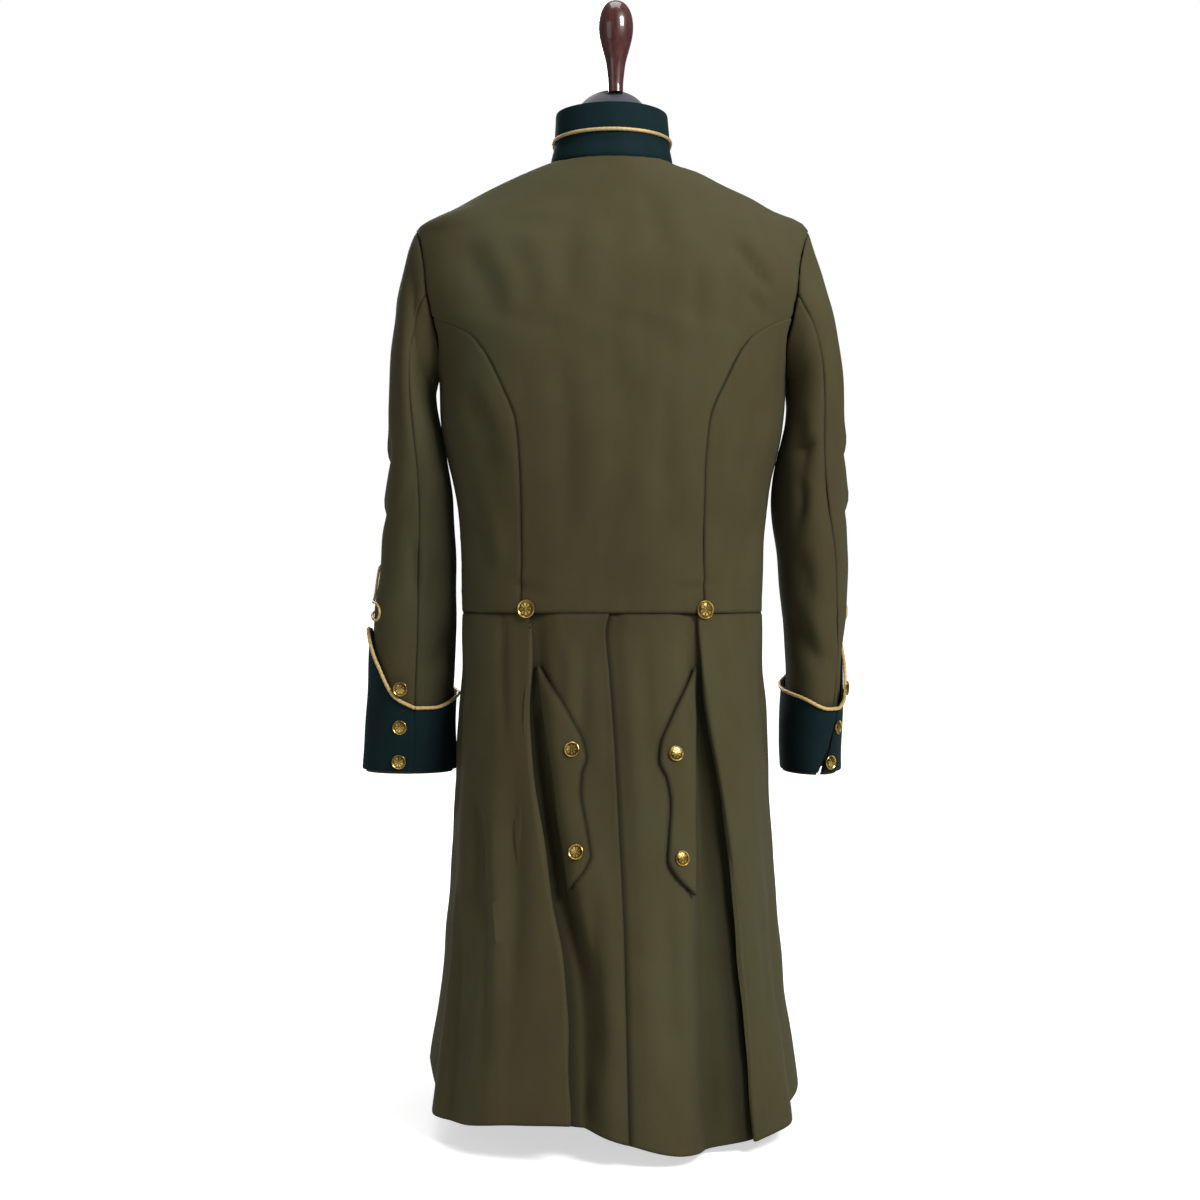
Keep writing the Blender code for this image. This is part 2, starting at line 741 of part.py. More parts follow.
def back_skirt_point(side, place, fall, lift=0.0):
    """Give a point of a back skirt by its place across."""
    angle = angle_at(place, skirt_height(0.0, fall))
    return skirt_point(angle, fall, lift + back_skirt_lift(side, place, fall))


def build_skirt_back(side, finish):
    """A back skirt: from the centre vent, where the left laps over, to under the side pleat."""
    turn = SIDES[side]
    rows = []
    for fall in SKIRT_ROWS:
        level = skirt_height(0.0, fall)
        vent = read(VENT_EDGE, "place", level)
        inner = vent if side == "left" else vent - VENT_LAP
        outer = read(PLEAT_EDGE, side, level) + turn * (PLEAT_UNDERLAY - 0.002)
        places = between(inner, outer, BACK_SKIRT_COLUMNS)
        rows.append([back_skirt_point(side, place, fall) for place in places])
    rows.reverse()
    if side == "left":
        rows = [row[::-1] for row in rows]
    cloth(f"skirt_back_{side}", rows, finish["suiting"])


def fall_at(place, height):
    """Turn a height at a place on the back skirt into a fall."""
    return (WAIST - height) / (WAIST - read(HEM_LINE, "height", angle_at(place, height)))


def build_flap(side, finish):
    """A pocket flap: a long pointed panel with one scalloped edge, lying on the back skirt."""
    turn = SIDES[side]
    line = FLAP_LINES[side]
    rows = []
    for section in reversed(FLAP_OUTLINE):
        part = section.down / FLAP_LENGTH
        height = line.top_height + (line.tip_height - line.top_height) * part
        long_edge = line.top + (line.tip - line.top) * part
        places = between(long_edge - turn * section.width, long_edge, FLAP_COLUMNS)
        if side == "left":
            places.reverse()
        rows.append([back_skirt_point(side, place, fall_at(place, height), FLAP_LIFT)
                     for place in places])
    cloth(f"pocket_flap_{side}", rows, finish["suiting"])


# Sleeves and cuffs

def armhole_point(side, turn):
    """Give the sleeve head's first ring, just inside the body's armhole."""
    wave = (1 - math.cos(math.radians(turn))) / 2
    inset = ARMPIT_LIFT * wave
    height = ARMHOLE_CENTRE + (ARMHOLE_RISE - inset) * math.cos(math.radians(turn))
    y = -(ARMHOLE_REACH - inset) * math.sin(math.radians(turn))
    ring = ring_at(COAT_RINGS, height)
    depth = ring.back if y < 0 else ring.front
    x = ring.half_width * (1 - (abs(y) / depth) ** ring.roundness) ** (1 / ring.roundness)
    return Vector((SIDES[side] * (x + SEAM_GAP + 0.002 * wave), y, height))


def table_sleeve_point(side, turn, station):
    """Give a point of a sleeve from its table alone."""
    table = SLEEVES[side]
    outer = Vector((read(table, "outer", station), 0.0, read(table, "outer_height", station)))
    inner = Vector((read(table, "inner", station), 0.0, read(table, "inner_height", station)))
    point = (outer + inner) / 2 + (outer - inner) / 2 * math.cos(math.radians(turn))
    depth = read(table, "half_depth", station) * math.sin(math.radians(turn))
    return Vector((SIDES[side] * point.x, read(table, "centre", station) - depth, point.z))


def sleeve_point(side, turn, station, lift=0.0):
    """Give a point of a sleeve; turn 0 is its outer line, 90 its back and 180 its inner line."""
    point = table_sleeve_point(side, turn, station)
    if station < 3:
        change = armhole_point(side, turn) - table_sleeve_point(side, turn, 0)
        point += change * (1 - ease(0, 3, max(station, 0)))
    if lift:
        point += lift * sleeve_normal(side, turn, station)
    return point


def sleeve_normal(side, turn, station):
    """Give the outward normal of a sleeve."""
    at = min(max(station, 0.1), 12.9)
    normal = normal_at(lambda a, s: sleeve_point(side, a, s), turn, at, 2.0, 0.1)
    return SIDES[side] * normal


def station_at(side, height):
    """Turn a height on the level part of a sleeve into a station."""
    table = SLEEVES[side]
    return solve(lambda s: read(table, "outer_height", s), LEVEL_FROM, 13, height)


def sleeve_seam(side, station, extra=0.0):
    """Angle of the back seam and half its opening, in degrees."""
    table = SLEEVES[side]
    ahead = sleeve_point(side, read(table, "seam", station) + 0.5, station)
    behind = sleeve_point(side, read(table, "seam", station) - 0.5, station)
    opening = (read(table, "slit", station) + extra) / (ahead - behind).length
    return read(table, "seam", station), opening


def sleeve_rows(side, part):
    """Give rows of points for the upper or the under sleeve."""
    gap = SLEEVE_SEAM_GAP
    rows = []
    for ring in SLEEVES[side]:
        seam, opening = sleeve_seam(side, ring.station)
        if part == "under":
            turns = between(seam + opening, SLEEVE_FRONT_SEAM - gap, SLEEVE_COLUMNS)
        else:
            turns = between(SLEEVE_FRONT_SEAM - 360.0 + gap, seam - opening, SLEEVE_COLUMNS)
        if side == "left":
            turns.reverse()
        rows.append([sleeve_point(side, turn, ring.station) for turn in turns])
    return rows


def cuff_grid(side, columns, lift):
    """Give a cuff's rows of points, from its pointed top edge down to its bottom edge."""
    rows = []
    for level in between(1.0, 0.0, CUFF_ROWS):
        row = []
        for turn in between(0.0, 360.0, columns):
            top = read(CUFF_EDGE, "height", 360.0 - turn)
            height = CUFF_BOTTOM + (top - CUFF_BOTTOM) * level
            station = station_at(side, height)
            seam, opening = sleeve_seam(side, station, 0.0002)
            spread = 360.0 - 2 * opening
            row.append(sleeve_point(side, seam + opening + spread * turn / 360.0, station, lift))
        rows.append(row)
    return rows


def build_sleeve(side, finish):
    """A two-piece sleeve with its cuff, the cuff's piping and the cord knot above its point."""
    cloth(f"upper_sleeve_{side}", sleeve_rows(side, "upper"), finish["suiting"])
    cloth(f"under_sleeve_{side}", sleeve_rows(side, "under"), finish["suiting"])
    rows = cuff_grid(side, CUFF_COLUMNS, CUFF_LIFT)
    if side == "left":
        rows = [row[::-1] for row in rows]
    cloth(f"cuff_{side}", rows, finish["facing_cloth"])
    lift = CUFF_LIFT + CLOTH + PIPING_RADIUS + CLEAR
    edge = cuff_grid(side, CUFF_COLUMNS, lift)[0]
    add_cord(f"cuff_piping_{side}", edge, PIPING_RADIUS, finish["gold_cord"])
    build_knot(side, finish)


def knot_outline():
    """Give the flat outline of the three-lobed knot: places across and up from its heart."""
    outline = []
    for lean in (-12.0, 90.0, 192.0):
        along = Vector((math.cos(math.radians(lean)), math.sin(math.radians(lean))))
        across = Vector((-along.y, along.x))
        for step in between(-1.0, 1.0, 6):
            out = KNOT_HEART + (KNOT_REACH - KNOT_HEART) * math.cos(math.pi * step / 2)
            over = KNOT_HALF_WIDTH * math.sin(math.pi * step) + 0.0045 * step
            outline.append(along * out + across * over)
    return outline


def build_knot(side, finish):
    """The cord knot, laid on the sleeve above the cuff's point."""
    points = []
    for across, up in knot_outline():
        station = station_at(side, KNOT_HEIGHT + up)
        middle = sleeve_seam(side, station_at(side, CUFF_TOP_AT_SPLIT))[0] - KNOT_TURN
        ahead = sleeve_point(side, middle + 1.0, station)
        degree = (ahead - sleeve_point(side, middle, station)).length
        lift = CLOTH + CORD_RADIUS + 0.0020
        points.append(sleeve_point(side, middle + across / degree, station, lift))
    add_cord(f"sleeve_knot_{side}", points, CORD_RADIUS, finish["gold_cord"], cyclic=True)


# Collar

def collar_point(angle, rise, lift=0.0):
    """Give a point of the stand collar; rise goes from 0 at the neck seam to 1 at its top."""
    lean = COLLAR_INSET + 0.0052 * ease(0.0, 0.5, rise) + 0.0013 * ease(0.5, 1.0, rise)
    foot = ring_at(COAT_RINGS, NECK)
    ring = Ring(NECK, foot.half_width - lean, foot.back - lean, foot.front - lean, 2.0)
    x, y = ring_point(ring, angle)
    height = NECK + COLLAR_HEIGHT * rise - front_drop(angle, NECK)
    point = Vector((x, y, height))
    if lift:
        point += lift * normal_at(collar_point, angle, rise, 1.0, 0.02)
    return point


def build_collar(finish):
    """The stand collar, open at the centre front, and the cord along its middle."""
    angles = between(-180.0 + COLLAR_OPENING, 180.0 - COLLAR_OPENING, COLLAR_COLUMNS)
    rows = [[collar_point(angle, rise) for angle in angles] for rise in between(0.0, 1.0, COLLAR_ROWS)]
    cloth("collar", rows, finish["facing_cloth"])
    lift = CLOTH + PIPING_RADIUS + CLEAR
    points = [collar_point(angle, COLLAR_PIPING, lift) for angle in angles]
    add_cord("collar_piping", points, PIPING_RADIUS, finish["gold_cord"])


# Buttons

def button_on_skirt(name, side, place, height, lift, finish):
    """A button on the back skirt or on what lies on it."""
    def point(across, fall):
        return back_skirt_point(side, across, fall)
    fall = fall_at(place, height)
    normal = normal_at(point, place, fall, 0.003, -0.006)
    add_button(name, point(place, fall) + lift * normal, normal, SMALL_BUTTON_RADIUS,
               finish["brass_button"])


def build_buttons(finish):
    """Hip, flap, cuff and front buttons."""
    for side, (place, height) in HIP_BUTTONS.items():
        angle = angle_at(place, height)
        normal = normal_at(coat_point, angle, height, 1.0, 0.002)
        add_button(f"hip_button_{side}", coat_point(angle, height, BUTTON_LIFT), normal,
                   BUTTON_RADIUS, finish["brass_button"])
    for side, places in FLAP_BUTTONS.items():
        for count, (place, height) in enumerate(places, 1):
            lift = FLAP_LIFT + CLOTH + 0.0010
            button_on_skirt(f"flap_button_{side}_{count}", side, place, height, lift, finish)
    for side in SIDES:
        for count, height in enumerate(CUFF_BUTTON_HEIGHTS, 1):
            station = station_at(side, height)
            turn = sleeve_seam(side, station)[0] - CUFF_BUTTON_TURN[side]
            lift = CUFF_LIFT + BUTTON_LIFT + (2 * PIPING_RADIUS if count == 1 else 0.0)
            add_button(f"cuff_button_{side}_{count}", sleeve_point(side, turn, station, lift),
                       sleeve_normal(side, turn, station), SMALL_BUTTON_RADIUS,
                       finish["brass_button"])
    heights = between(FRONT_BUTTON_LOW, FRONT_BUTTON_HIGH, FRONT_BUTTON_COUNT - 1)
    for count, height in enumerate(heights, 1):
        normal = normal_at(coat_point, 180.0, height, 1.0, 0.002)
        point = coat_point(180.0, height, LAP_DEPTH + BUTTON_LIFT)
        add_button(f"front_button_{count}", point, normal, SMALL_BUTTON_RADIUS,
                   finish["brass_button"])


# Dress form

def build_form(finish):
    """The form's padded torso, its neck cap, its turned knob and its stand."""
    columns = 24
    heights = [ring.height for ring in FORM_RINGS]
    points = []
    for height in heights:
        ring = ring_at(FORM_RINGS, height)
        for step in range(columns):
            angle = 360.0 * step / columns
            drop = front_drop(angle, height, NECK_TOP)
            points.append((*ring_point(ring, angle), height - drop))
    faces = [tuple(range(columns))[::-1], tuple(len(points) - columns + i for i in range(columns))]
    for row in range(len(heights) - 1):
        for step in range(columns):
            following = (step + 1) % columns
            low, high = row * columns, (row + 1) * columns
            faces.append((low + step, low + following, high + following, high + step))
    mesh = bpy.data.meshes.new("form_torso")
    mesh.from_pydata(points, [], faces)
    mesh.materials.append(finish["form_cover"])
    add_object("form_torso", mesh)

    cap = add_turned("form_neck_cap", CAP_PROFILE, 20, finish["cap_cover"])
    cap.location = (*CAP_CENTRE, 0.0)
    socket = add_turned("knob_socket", ((0.0, 1.2), (STEM_RADIUS + CLEAR, 1.2),
                                        (STEM_RADIUS + CLEAR, KNOB_FOOT - CLEAR),
                                        (0.0, KNOB_FOOT - CLEAR)), 14, finish["cap_cover"])
    socket.location = (*KNOB_AXIS, 0.0)
    socket.hide_render = True
    socket.display_type = "WIRE"
    bpy.data.collections["frock_coat_on_dress_form"].objects.unlink(socket)
    bpy.data.collections["cutters"].objects.link(socket)
    cut = cap.modifiers.new("socket", "BOOLEAN")
    cut.operation = "DIFFERENCE"
    cut.object = socket
    knob = add_turned("form_knob", KNOB_PROFILE, 14, finish["lacquered_wood"])
    knob.location = (*KNOB_AXIS, 0.0)

    pole_length = FORM_BOTTOM - BASE_THICKNESS - 2 * CLEAR
    bpy.ops.mesh.primitive_cylinder_add(
        vertices=16, radius=POLE_RADIUS, depth=pole_length,
        location=(*STAND_AXIS, BASE_THICKNESS + CLEAR + pole_length / 2))
    claim("form_pole", finish["stand_metal"])
    bpy.ops.mesh.primitive_cylinder_add(
        vertices=40, radius=BASE_RADIUS, depth=BASE_THICKNESS,
        location=(*STAND_AXIS, BASE_THICKNESS / 2))
    base = claim("form_base", finish["stand_metal"])
    rim = base.modifiers.new("rim", "BEVEL")
    rim.width = 0.003
    rim.segments = 1
    rim.limit_method = "ANGLE"


def claim(name, material):
    """Name the new primitive, dress it and move it to the coat's collection."""
    piece = bpy.context.object
    piece.name = name
    piece.data.materials.append(material)
    for collection in list(piece.users_collection):
        collection.objects.unlink(piece)
    bpy.data.collections["frock_coat_on_dress_form"].objects.link(piece)
    return piece


# Scene

def make_finishes():
    """Make one Principled material for each finish."""
    finishes = {}
    for name, (colour, roughness, metallic) in COLOURS.items():
        material = bpy.data.materials.new(name)
        material.use_nodes = True
        shader = material.node_tree.nodes["Principled BSDF"]
        shader.inputs["Base Color"].default_value = colour
        shader.inputs["Roughness"].default_value = roughness
        shader.inputs["Metallic"].default_value = metallic
        finishes[name] = material
    return finishes


def main():
    """Build the coat and the dress form it rests on."""
    for old in list(bpy.data.objects):
        bpy.data.objects.remove(old, do_unlink=True)
    for name in ("frock_coat_on_dress_form", "cutters"):
        bpy.context.scene.collection.children.link(bpy.data.collections.new(name))
    finish = make_finishes()
    build_back(finish)
    for side in SIDES:
        build_side_back(side, finish)
        build_front(side, finish)
        build_skirt_front(side, finish)
        build_skirt_back(side, finish)
        build_flap(side, finish)
        build_sleeve(side, finish)
    build_collar(finish)
    build_buttons(finish)
    build_form(finish)


main()
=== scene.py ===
"""Looks of a frock coat filled out on a limbless dress form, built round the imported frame.

Frame: +X is the wearer's right, +Y the wearer's front and +Z up, in metres. Angles go round the
body in degrees: 0 is the centre back, 90 the wearer's right side and 180 the centre front. Each
panel of cloth is a grid of points on its inner face, whose rows run up and whose columns run to
the right as seen from outside, and gets its thickness outwards.
"""

from __future__ import annotations

import logging
import math
from dataclasses import dataclass, field
from enum import Enum
from itertools import pairwise
from typing import Callable

import bmesh
import bpy
import numpy as np
from mathutils import Matrix, Vector


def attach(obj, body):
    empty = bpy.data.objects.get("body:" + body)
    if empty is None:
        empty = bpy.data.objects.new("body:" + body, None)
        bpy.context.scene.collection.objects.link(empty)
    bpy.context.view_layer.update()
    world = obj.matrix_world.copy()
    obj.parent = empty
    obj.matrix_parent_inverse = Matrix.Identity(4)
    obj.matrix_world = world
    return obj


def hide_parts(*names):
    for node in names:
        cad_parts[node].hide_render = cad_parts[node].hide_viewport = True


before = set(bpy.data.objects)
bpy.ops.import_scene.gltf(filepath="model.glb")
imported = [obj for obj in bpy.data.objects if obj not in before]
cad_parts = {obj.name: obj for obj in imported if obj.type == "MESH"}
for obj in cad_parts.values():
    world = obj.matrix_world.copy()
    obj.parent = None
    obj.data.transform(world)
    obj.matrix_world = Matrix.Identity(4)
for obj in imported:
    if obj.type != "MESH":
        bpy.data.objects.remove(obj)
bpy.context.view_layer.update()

Array = np.ndarray
Colour = tuple[float, float, float]
log = logging.getLogger("frock_coat")

CLOTH = 0.002
GAP = 0.00012
SHOULDER = 1.000
NECK = 1.072
WAIST = 0.564
CORD_RADIUS = 0.0016
PIPING_RADIUS = 0.0021
CLEAR = 0.0003


# Tables and curves

@dataclass(frozen=True)
class Table:
    """Rows of sizes with named columns, the first of which is the key."""
    columns: tuple[str, ...]
    rows: tuple[tuple[float, ...], ...]

    def read(self, column: str, key: Array | float) -> Array:
        """Read a column on a smooth curve that never overshoots its rows.

        Args:
            column: The column's name.
            key: Where to read it; beyond the table its end rows hold.

        Returns:
            The column's value at each key.
        """
        keys = np.array([row[0] for row in self.rows])
        values = np.array([row[self.columns.index(column)] for row in self.rows])
        widths = np.diff(keys)
        rises = np.diff(values) / widths
        before, after = rises[:-1], rises[1:]
        even = before * after > 0
        inner = np.where(even, 2 * before * after / np.where(even, before + after, 1.0), 0.0)
        slopes = np.concatenate(([rises[0]], inner, [rises[-1]]))
        key = np.clip(np.asarray(key, float), keys[0], keys[-1])
        at = np.clip(np.searchsorted(keys, key, "right") - 1, 0, len(rises) - 1)
        part = (key - keys[at]) / widths[at]
        start, end = slopes[at] * widths[at], slopes[at + 1] * widths[at]
        change = values[at + 1] - values[at]
        bend = (start + end - 2 * change) * part ** 3 + (3 * change - 2 * start - end) * part ** 2
        return values[at] + start * part + bend


RING = ("height", "half_width", "back", "front", "roundness")
COAT_RINGS = Table(RING, (
    (0.010, 0.209, 0.240, 0.166, 2.50),
    (0.051, 0.204, 0.231, 0.162, 2.50),
    (0.145, 0.191, 0.210, 0.154, 2.45),
    (0.257, 0.183, 0.182, 0.142, 2.40),
    (0.389, 0.175, 0.149, 0.125, 2.35),
    (0.439, 0.173, 0.137, 0.118, 2.30),
    (0.506, 0.170, 0.122, 0.108, 2.25),
    (0.564, 0.170, 0.111, 0.100, 2.20),
    (0.640, 0.1715, 0.114, 0.104, 2.25),
    (0.710, 0.180, 0.121, 0.111, 2.30),
    (0.774, 0.1925, 0.127, 0.118, 2.35),
    (0.830, 0.1965, 0.130, 0.121, 2.40),
    (0.860, 0.2005, 0.130, 0.121, 2.40),
    (0.895, 0.2155, 0.127, 0.118, 2.35),
    (0.930, 0.2265, 0.121, 0.111, 2.30),
    (0.965, 0.2285, 0.110, 0.099, 2.25),
    (1.000, 0.2225, 0.0935, 0.083, 2.20),
    (1.0245, 0.177, 0.083, 0.072, 2.15),
    (1.048, 0.131, 0.076, 0.067, 2.10),
    (1.0625, 0.098, 0.071, 0.065, 2.05),
    (1.072, 0.0710, 0.0690, 0.0690, 2.00),
))
FORM_RINGS = Table(RING, (
    (0.400, 0.146, 0.094, 0.082, 2.10),
    (0.412, 0.154, 0.099, 0.087, 2.10),
    (0.450, 0.157, 0.100, 0.090, 2.15),
    (0.564, 0.156, 0.096, 0.086, 2.20),
    (0.640, 0.159, 0.100, 0.091, 2.25),
    (0.710, 0.169, 0.111, 0.102, 2.30),
    (0.774, 0.180, 0.118, 0.110, 2.35),
    (0.830, 0.185, 0.121, 0.112, 2.35),
    (0.895, 0.188, 0.118, 0.109, 2.30),
    (0.950, 0.187, 0.107, 0.097, 2.25),
    (0.985, 0.178, 0.092, 0.082, 2.20),
    (1.006, 0.160, 0.081, 0.071, 2.15),
    (1.028, 0.124, 0.073, 0.063, 2.10),
    (1.046, 0.092, 0.066, 0.058, 2.05),
    (1.060, 0.066, 0.060, 0.056, 2.00),
    (1.076, 0.056, 0.052, 0.056, 2.00),
    (1.122, 0.050, 0.040, 0.060, 2.00),
))
SIDE_BACK_SEAM = Table(("height", "place"), (
    (0.564, 0.0970), (0.640, 0.0960), (0.710, 0.0965), (0.769, 0.1010), (0.819, 0.1200),
    (0.864, 0.1460), (0.882, 0.1720), (0.900, 0.2100),
))
PLEAT_EDGE = Table(("height", "left", "right"), (
    (0.010, -0.046, 0.149),
    (0.050, -0.047, 0.146),
    (0.170, -0.052, 0.138),
    (0.247, -0.066, 0.132),
    (0.335, -0.080, 0.124),
    (0.400, -0.089, 0.1145),
    (0.449, -0.092, 0.106),
    (0.515, -0.090, 0.098),
    (0.564, -0.090, 0.0945),
))
VENT_EDGE = Table(("height", "place"), (
    (0.010, 0.0155), (0.155, 0.0123), (0.237, 0.0103), (0.326, 0.0063), (0.423, 0.0011),
    (0.497, -0.0043), (0.543, -0.0080), (0.564, -0.0045),
))
VALLEYS = Table(("height", "left_depth", "right_depth", "left_inset", "right_inset"), (
    (0.010, 0.020, 0.036, 0.020, 0.034),
    (0.145, 0.019, 0.034, 0.018, 0.030),
    (0.250, 0.018, 0.031, 0.014, 0.026),
    (0.330, 0.017, 0.027, 0.013, 0.020),
    (0.420, 0.013, 0.019, 0.011, 0.014),
    (0.500, 0.006, 0.008, 0.008, 0.008),
    (0.564, 0.000, 0.000, 0.006, 0.006),
))
HEM_LINE = Table(("angle", "height"), (
    (-180, 0.040), (-120, 0.046), (-90, 0.049), (-62, 0.026), (-45, 0.028), (-25, 0.040),
    (-12, 0.043), (2, 0.027), (18, 0.013), (30, 0.014), (50, 0.018), (90, 0.032), (130, 0.042),
    (180, 0.040),
))
SIDE_FOLDS = (
    (-52.0, -35.0, 0.007, 6.0),
    (-60.0, -44.0, -0.006, 6.0),
    (-68.0, -53.0, 0.007, 6.5),
    (-82.0, -71.0, -0.009, 9.0),
    (-96.0, -93.0, 0.004, 9.0),
    (-114.0, -116.0, -0.010, 10.0),
    (-140.0, -143.0, 0.006, 11.0),
    (58.0, 52.0, 0.006, 6.5),
    (68.0, 66.0, -0.009, 8.0),
    (84.0, 86.0, 0.003, 8.0),
    (104.0, 108.0, -0.010, 11.0),
    (132.0, 137.0, 0.007, 11.0),
)
FLAP_OUTLINE = Table(("down", "width"), (
    (0.001, 0.0012), (0.030, 0.0165), (0.060, 0.0305), (0.085, 0.0395), (0.100, 0.0405),
    (0.120, 0.0325), (0.147, 0.0282), (0.180, 0.0295), (0.203, 0.0300), (0.218, 0.0225),
    (0.239, 0.0012),
))
CUFF_EDGE = Table(("turn", "height"), (
    (0, 0.457), (25, 0.469), (55, 0.5075), (97, 0.546), (139, 0.5075), (180, 0.487),
    (223, 0.479), (290, 0.469), (338, 0.457), (360, 0.457),
))
SLEEVE = ("station", "outer", "outer_height", "inner", "inner_height", "centre", "half_depth",
          "seam", "slit")
RIGHT_SLEEVE = Table(SLEEVE, (
    (0, 0.2228, 1.0000, 0.1990, 0.8345, 0.000, 0.0600, 86, 0.0001),
    (1, 0.2290, 0.9770, 0.2012, 0.8300, 0.000, 0.0605, 85, 0.0001),
    (2, 0.2410, 0.9440, 0.2020, 0.8240, 0.000, 0.0620, 84, 0.0001),
    (3, 0.2525, 0.9050, 0.2025, 0.8140, 0.001, 0.0630, 84, 0.0001),
    (4, 0.2600, 0.8650, 0.2027, 0.8010, 0.001, 0.0640, 83, 0.0001),
    (5, 0.2635, 0.8200, 0.2005, 0.7830, 0.000, 0.0640, 82, 0.0001),
    (6, 0.2645, 0.7700, 0.1945, 0.7560, -0.002, 0.0630, 80, 0.0001),
    (7, 0.2672, 0.6960, 0.1848, 0.6930, -0.002, 0.0610, 71, 0.0001),
    (8, 0.2692, 0.6245, 0.1925, 0.6245, 0.002, 0.0590, 61, 0.0001),
    (9, 0.2667, 0.5700, 0.1980, 0.5700, 0.006, 0.0580, 54, 0.0001),
    (10, 0.2635, 0.5300, 0.2010, 0.5300, 0.009, 0.0580, 48, 0.0001),
    (11, 0.2608, 0.4780, 0.2025, 0.4780, 0.012, 0.0580, 45, 0.0004),
    (12, 0.2585, 0.4300, 0.2002, 0.4300, 0.014, 0.0560, 58, 0.0012),
    (13, 0.2585, 0.3820, 0.2000, 0.3820, 0.016, 0.0550, 84, 0.0026),
))
LEFT_SLEEVE = Table(SLEEVE, (
    (0, 0.2228, 1.0000, 0.1990, 0.8345, 0.000, 0.0600, 86, 0.0001),
    (1, 0.2318, 0.9770, 0.2014, 0.8300, 0.000, 0.0605, 87, 0.0001),
    (2, 0.2395, 0.9440, 0.2030, 0.8240, 0.000, 0.0620, 88, 0.0001),
    (3, 0.2465, 0.9050, 0.2050, 0.8140, 0.001, 0.0630, 90, 0.0001),
    (4, 0.2510, 0.8650, 0.2040, 0.8010, 0.001, 0.0640, 92, 0.0001),
    (5, 0.2533, 0.8200, 0.2010, 0.7830, 0.000, 0.0640, 94, 0.0001),
    (6, 0.2540, 0.7700, 0.1950, 0.7560, -0.002, 0.0630, 96, 0.0001),
    (7, 0.2575, 0.6960, 0.1840, 0.6930, -0.002, 0.0600, 98, 0.0001),
    (8, 0.2630, 0.6245, 0.1820, 0.6245, 0.002, 0.0550, 99, 0.0001),
    (9, 0.2715, 0.5660, 0.1815, 0.5660, 0.006, 0.0500, 100, 0.0001),
    (10, 0.2735, 0.5300, 0.1822, 0.5300, 0.008, 0.0470, 100, 0.0001),
    (11, 0.2760, 0.4780, 0.1850, 0.4780, 0.010, 0.0440, 100, 0.0001),
    (12, 0.2790, 0.4300, 0.1858, 0.4300, 0.011, 0.0430, 100, 0.0001),
    (13, 0.2815, 0.3820, 0.1858, 0.3820, 0.012, 0.0420, 100, 0.0001),
))


class Side(Enum):
    """A side of the coat, with its sign along X."""
    RIGHT = 1
    LEFT = -1

    @property
    def word(self) -> str:
        """The side's name as the nodes spell it."""
        return self.name.lower()


class View(Enum):
    """A side that a crease is laid out from: its level axis and the way it faces."""
    BEHIND = (0, (0.0, -1.0, 0.0))
    AHEAD = (0, (0.0, 1.0, 0.0))
    RIGHT = (1, (1.0, 0.0, 0.0))
    LEFT = (1, (-1.0, 0.0, 0.0))


class Hold(Enum):
    """How a piece of cloth is held."""
    DRAPED = "draped"
    HUNG = "hung"
    LAID = "laid"


@dataclass(frozen=True)
class FlapLine:
    """The straight long edge of a pocket flap, from its top to its tip."""
    top: float
    top_height: float
    tip: float
    tip_height: float

    def at(self, part: Array) -> tuple[Array, Array]:
        """Give places across and heights by part of the edge."""
        return (self.top + (self.tip - self.top) * part,
                self.top_height + (self.tip_height - self.top_height) * part)


FLAP_LENGTH = 0.240
FLAP_LINES = {Side.LEFT: FlapLine(-0.0845, 0.510, -0.0485, 0.274),
              Side.RIGHT: FlapLine(0.0925, 0.507, 0.0865, 0.267)}


def ease(low: float, high: float, value: Array | float) -> Array:
    """Rise smoothly from 0 at low to 1 at high."""
    part = np.clip((np.asarray(value, float) - low) / (high - low), 0.0, 1.0)
    return part * part * (3 - 2 * part)


def solve(function: Callable[[Array], Array], low: float, high: float, target: Array) -> Array:
    """Find where a rising or falling function meets each target.

    Args:
        function: Gives a value for each input.
        low: The inputs' lower limit.
        high: The inputs' upper limit.
        target: The values to meet.

    Returns:
        The input for each target.
    """
    bottom = np.full(np.shape(target), float(low))
    top = np.full(np.shape(target), float(high))
    rising = function(top) > function(bottom)
    for _ in range(28):
        middle = (bottom + top) / 2
        short = (function(middle) < target) == rising
        bottom, top = np.where(short, middle, bottom), np.where(short, top, middle)
    return (bottom + top) / 2


def spread(length: float, spacing: float) -> Array:
    """Give shares from 0 to 1 across a piece, closer together by its two edges.

    Args:
        length: The piece's size along the shares.
        spacing: The distance between them away from the edges.

    Returns:
        The shares, in rising order.
    """
    edge = np.array([0.0, 0.0009, 0.0019, 0.0031, 0.0046, 0.0066]) / length
    middle = np.linspace(edge[-1], 1 - edge[-1], max(3, round(length / spacing)))
    return np.concatenate((edge[:-1], middle, (1 - edge[:-1])[::-1]))


def unit(vectors: Array) -> Array:
    """Scale vectors to a length of 1."""
    return vectors / np.maximum(np.linalg.norm(vectors, axis=-1, keepdims=True), 1e-12)


def normals_of(surface: Callable[[Array, Array], Array], across: Array, along: Array,
               steps: tuple[float, float]) -> Array:
    """Give a surface's normals, across its first input and up its second one."""
    over = surface(across + steps[0], along) - surface(across - steps[0], along)
    up = surface(across, along + steps[1]) - surface(across, along - steps[1])
    return unit(np.cross(over, up))


# Shapes

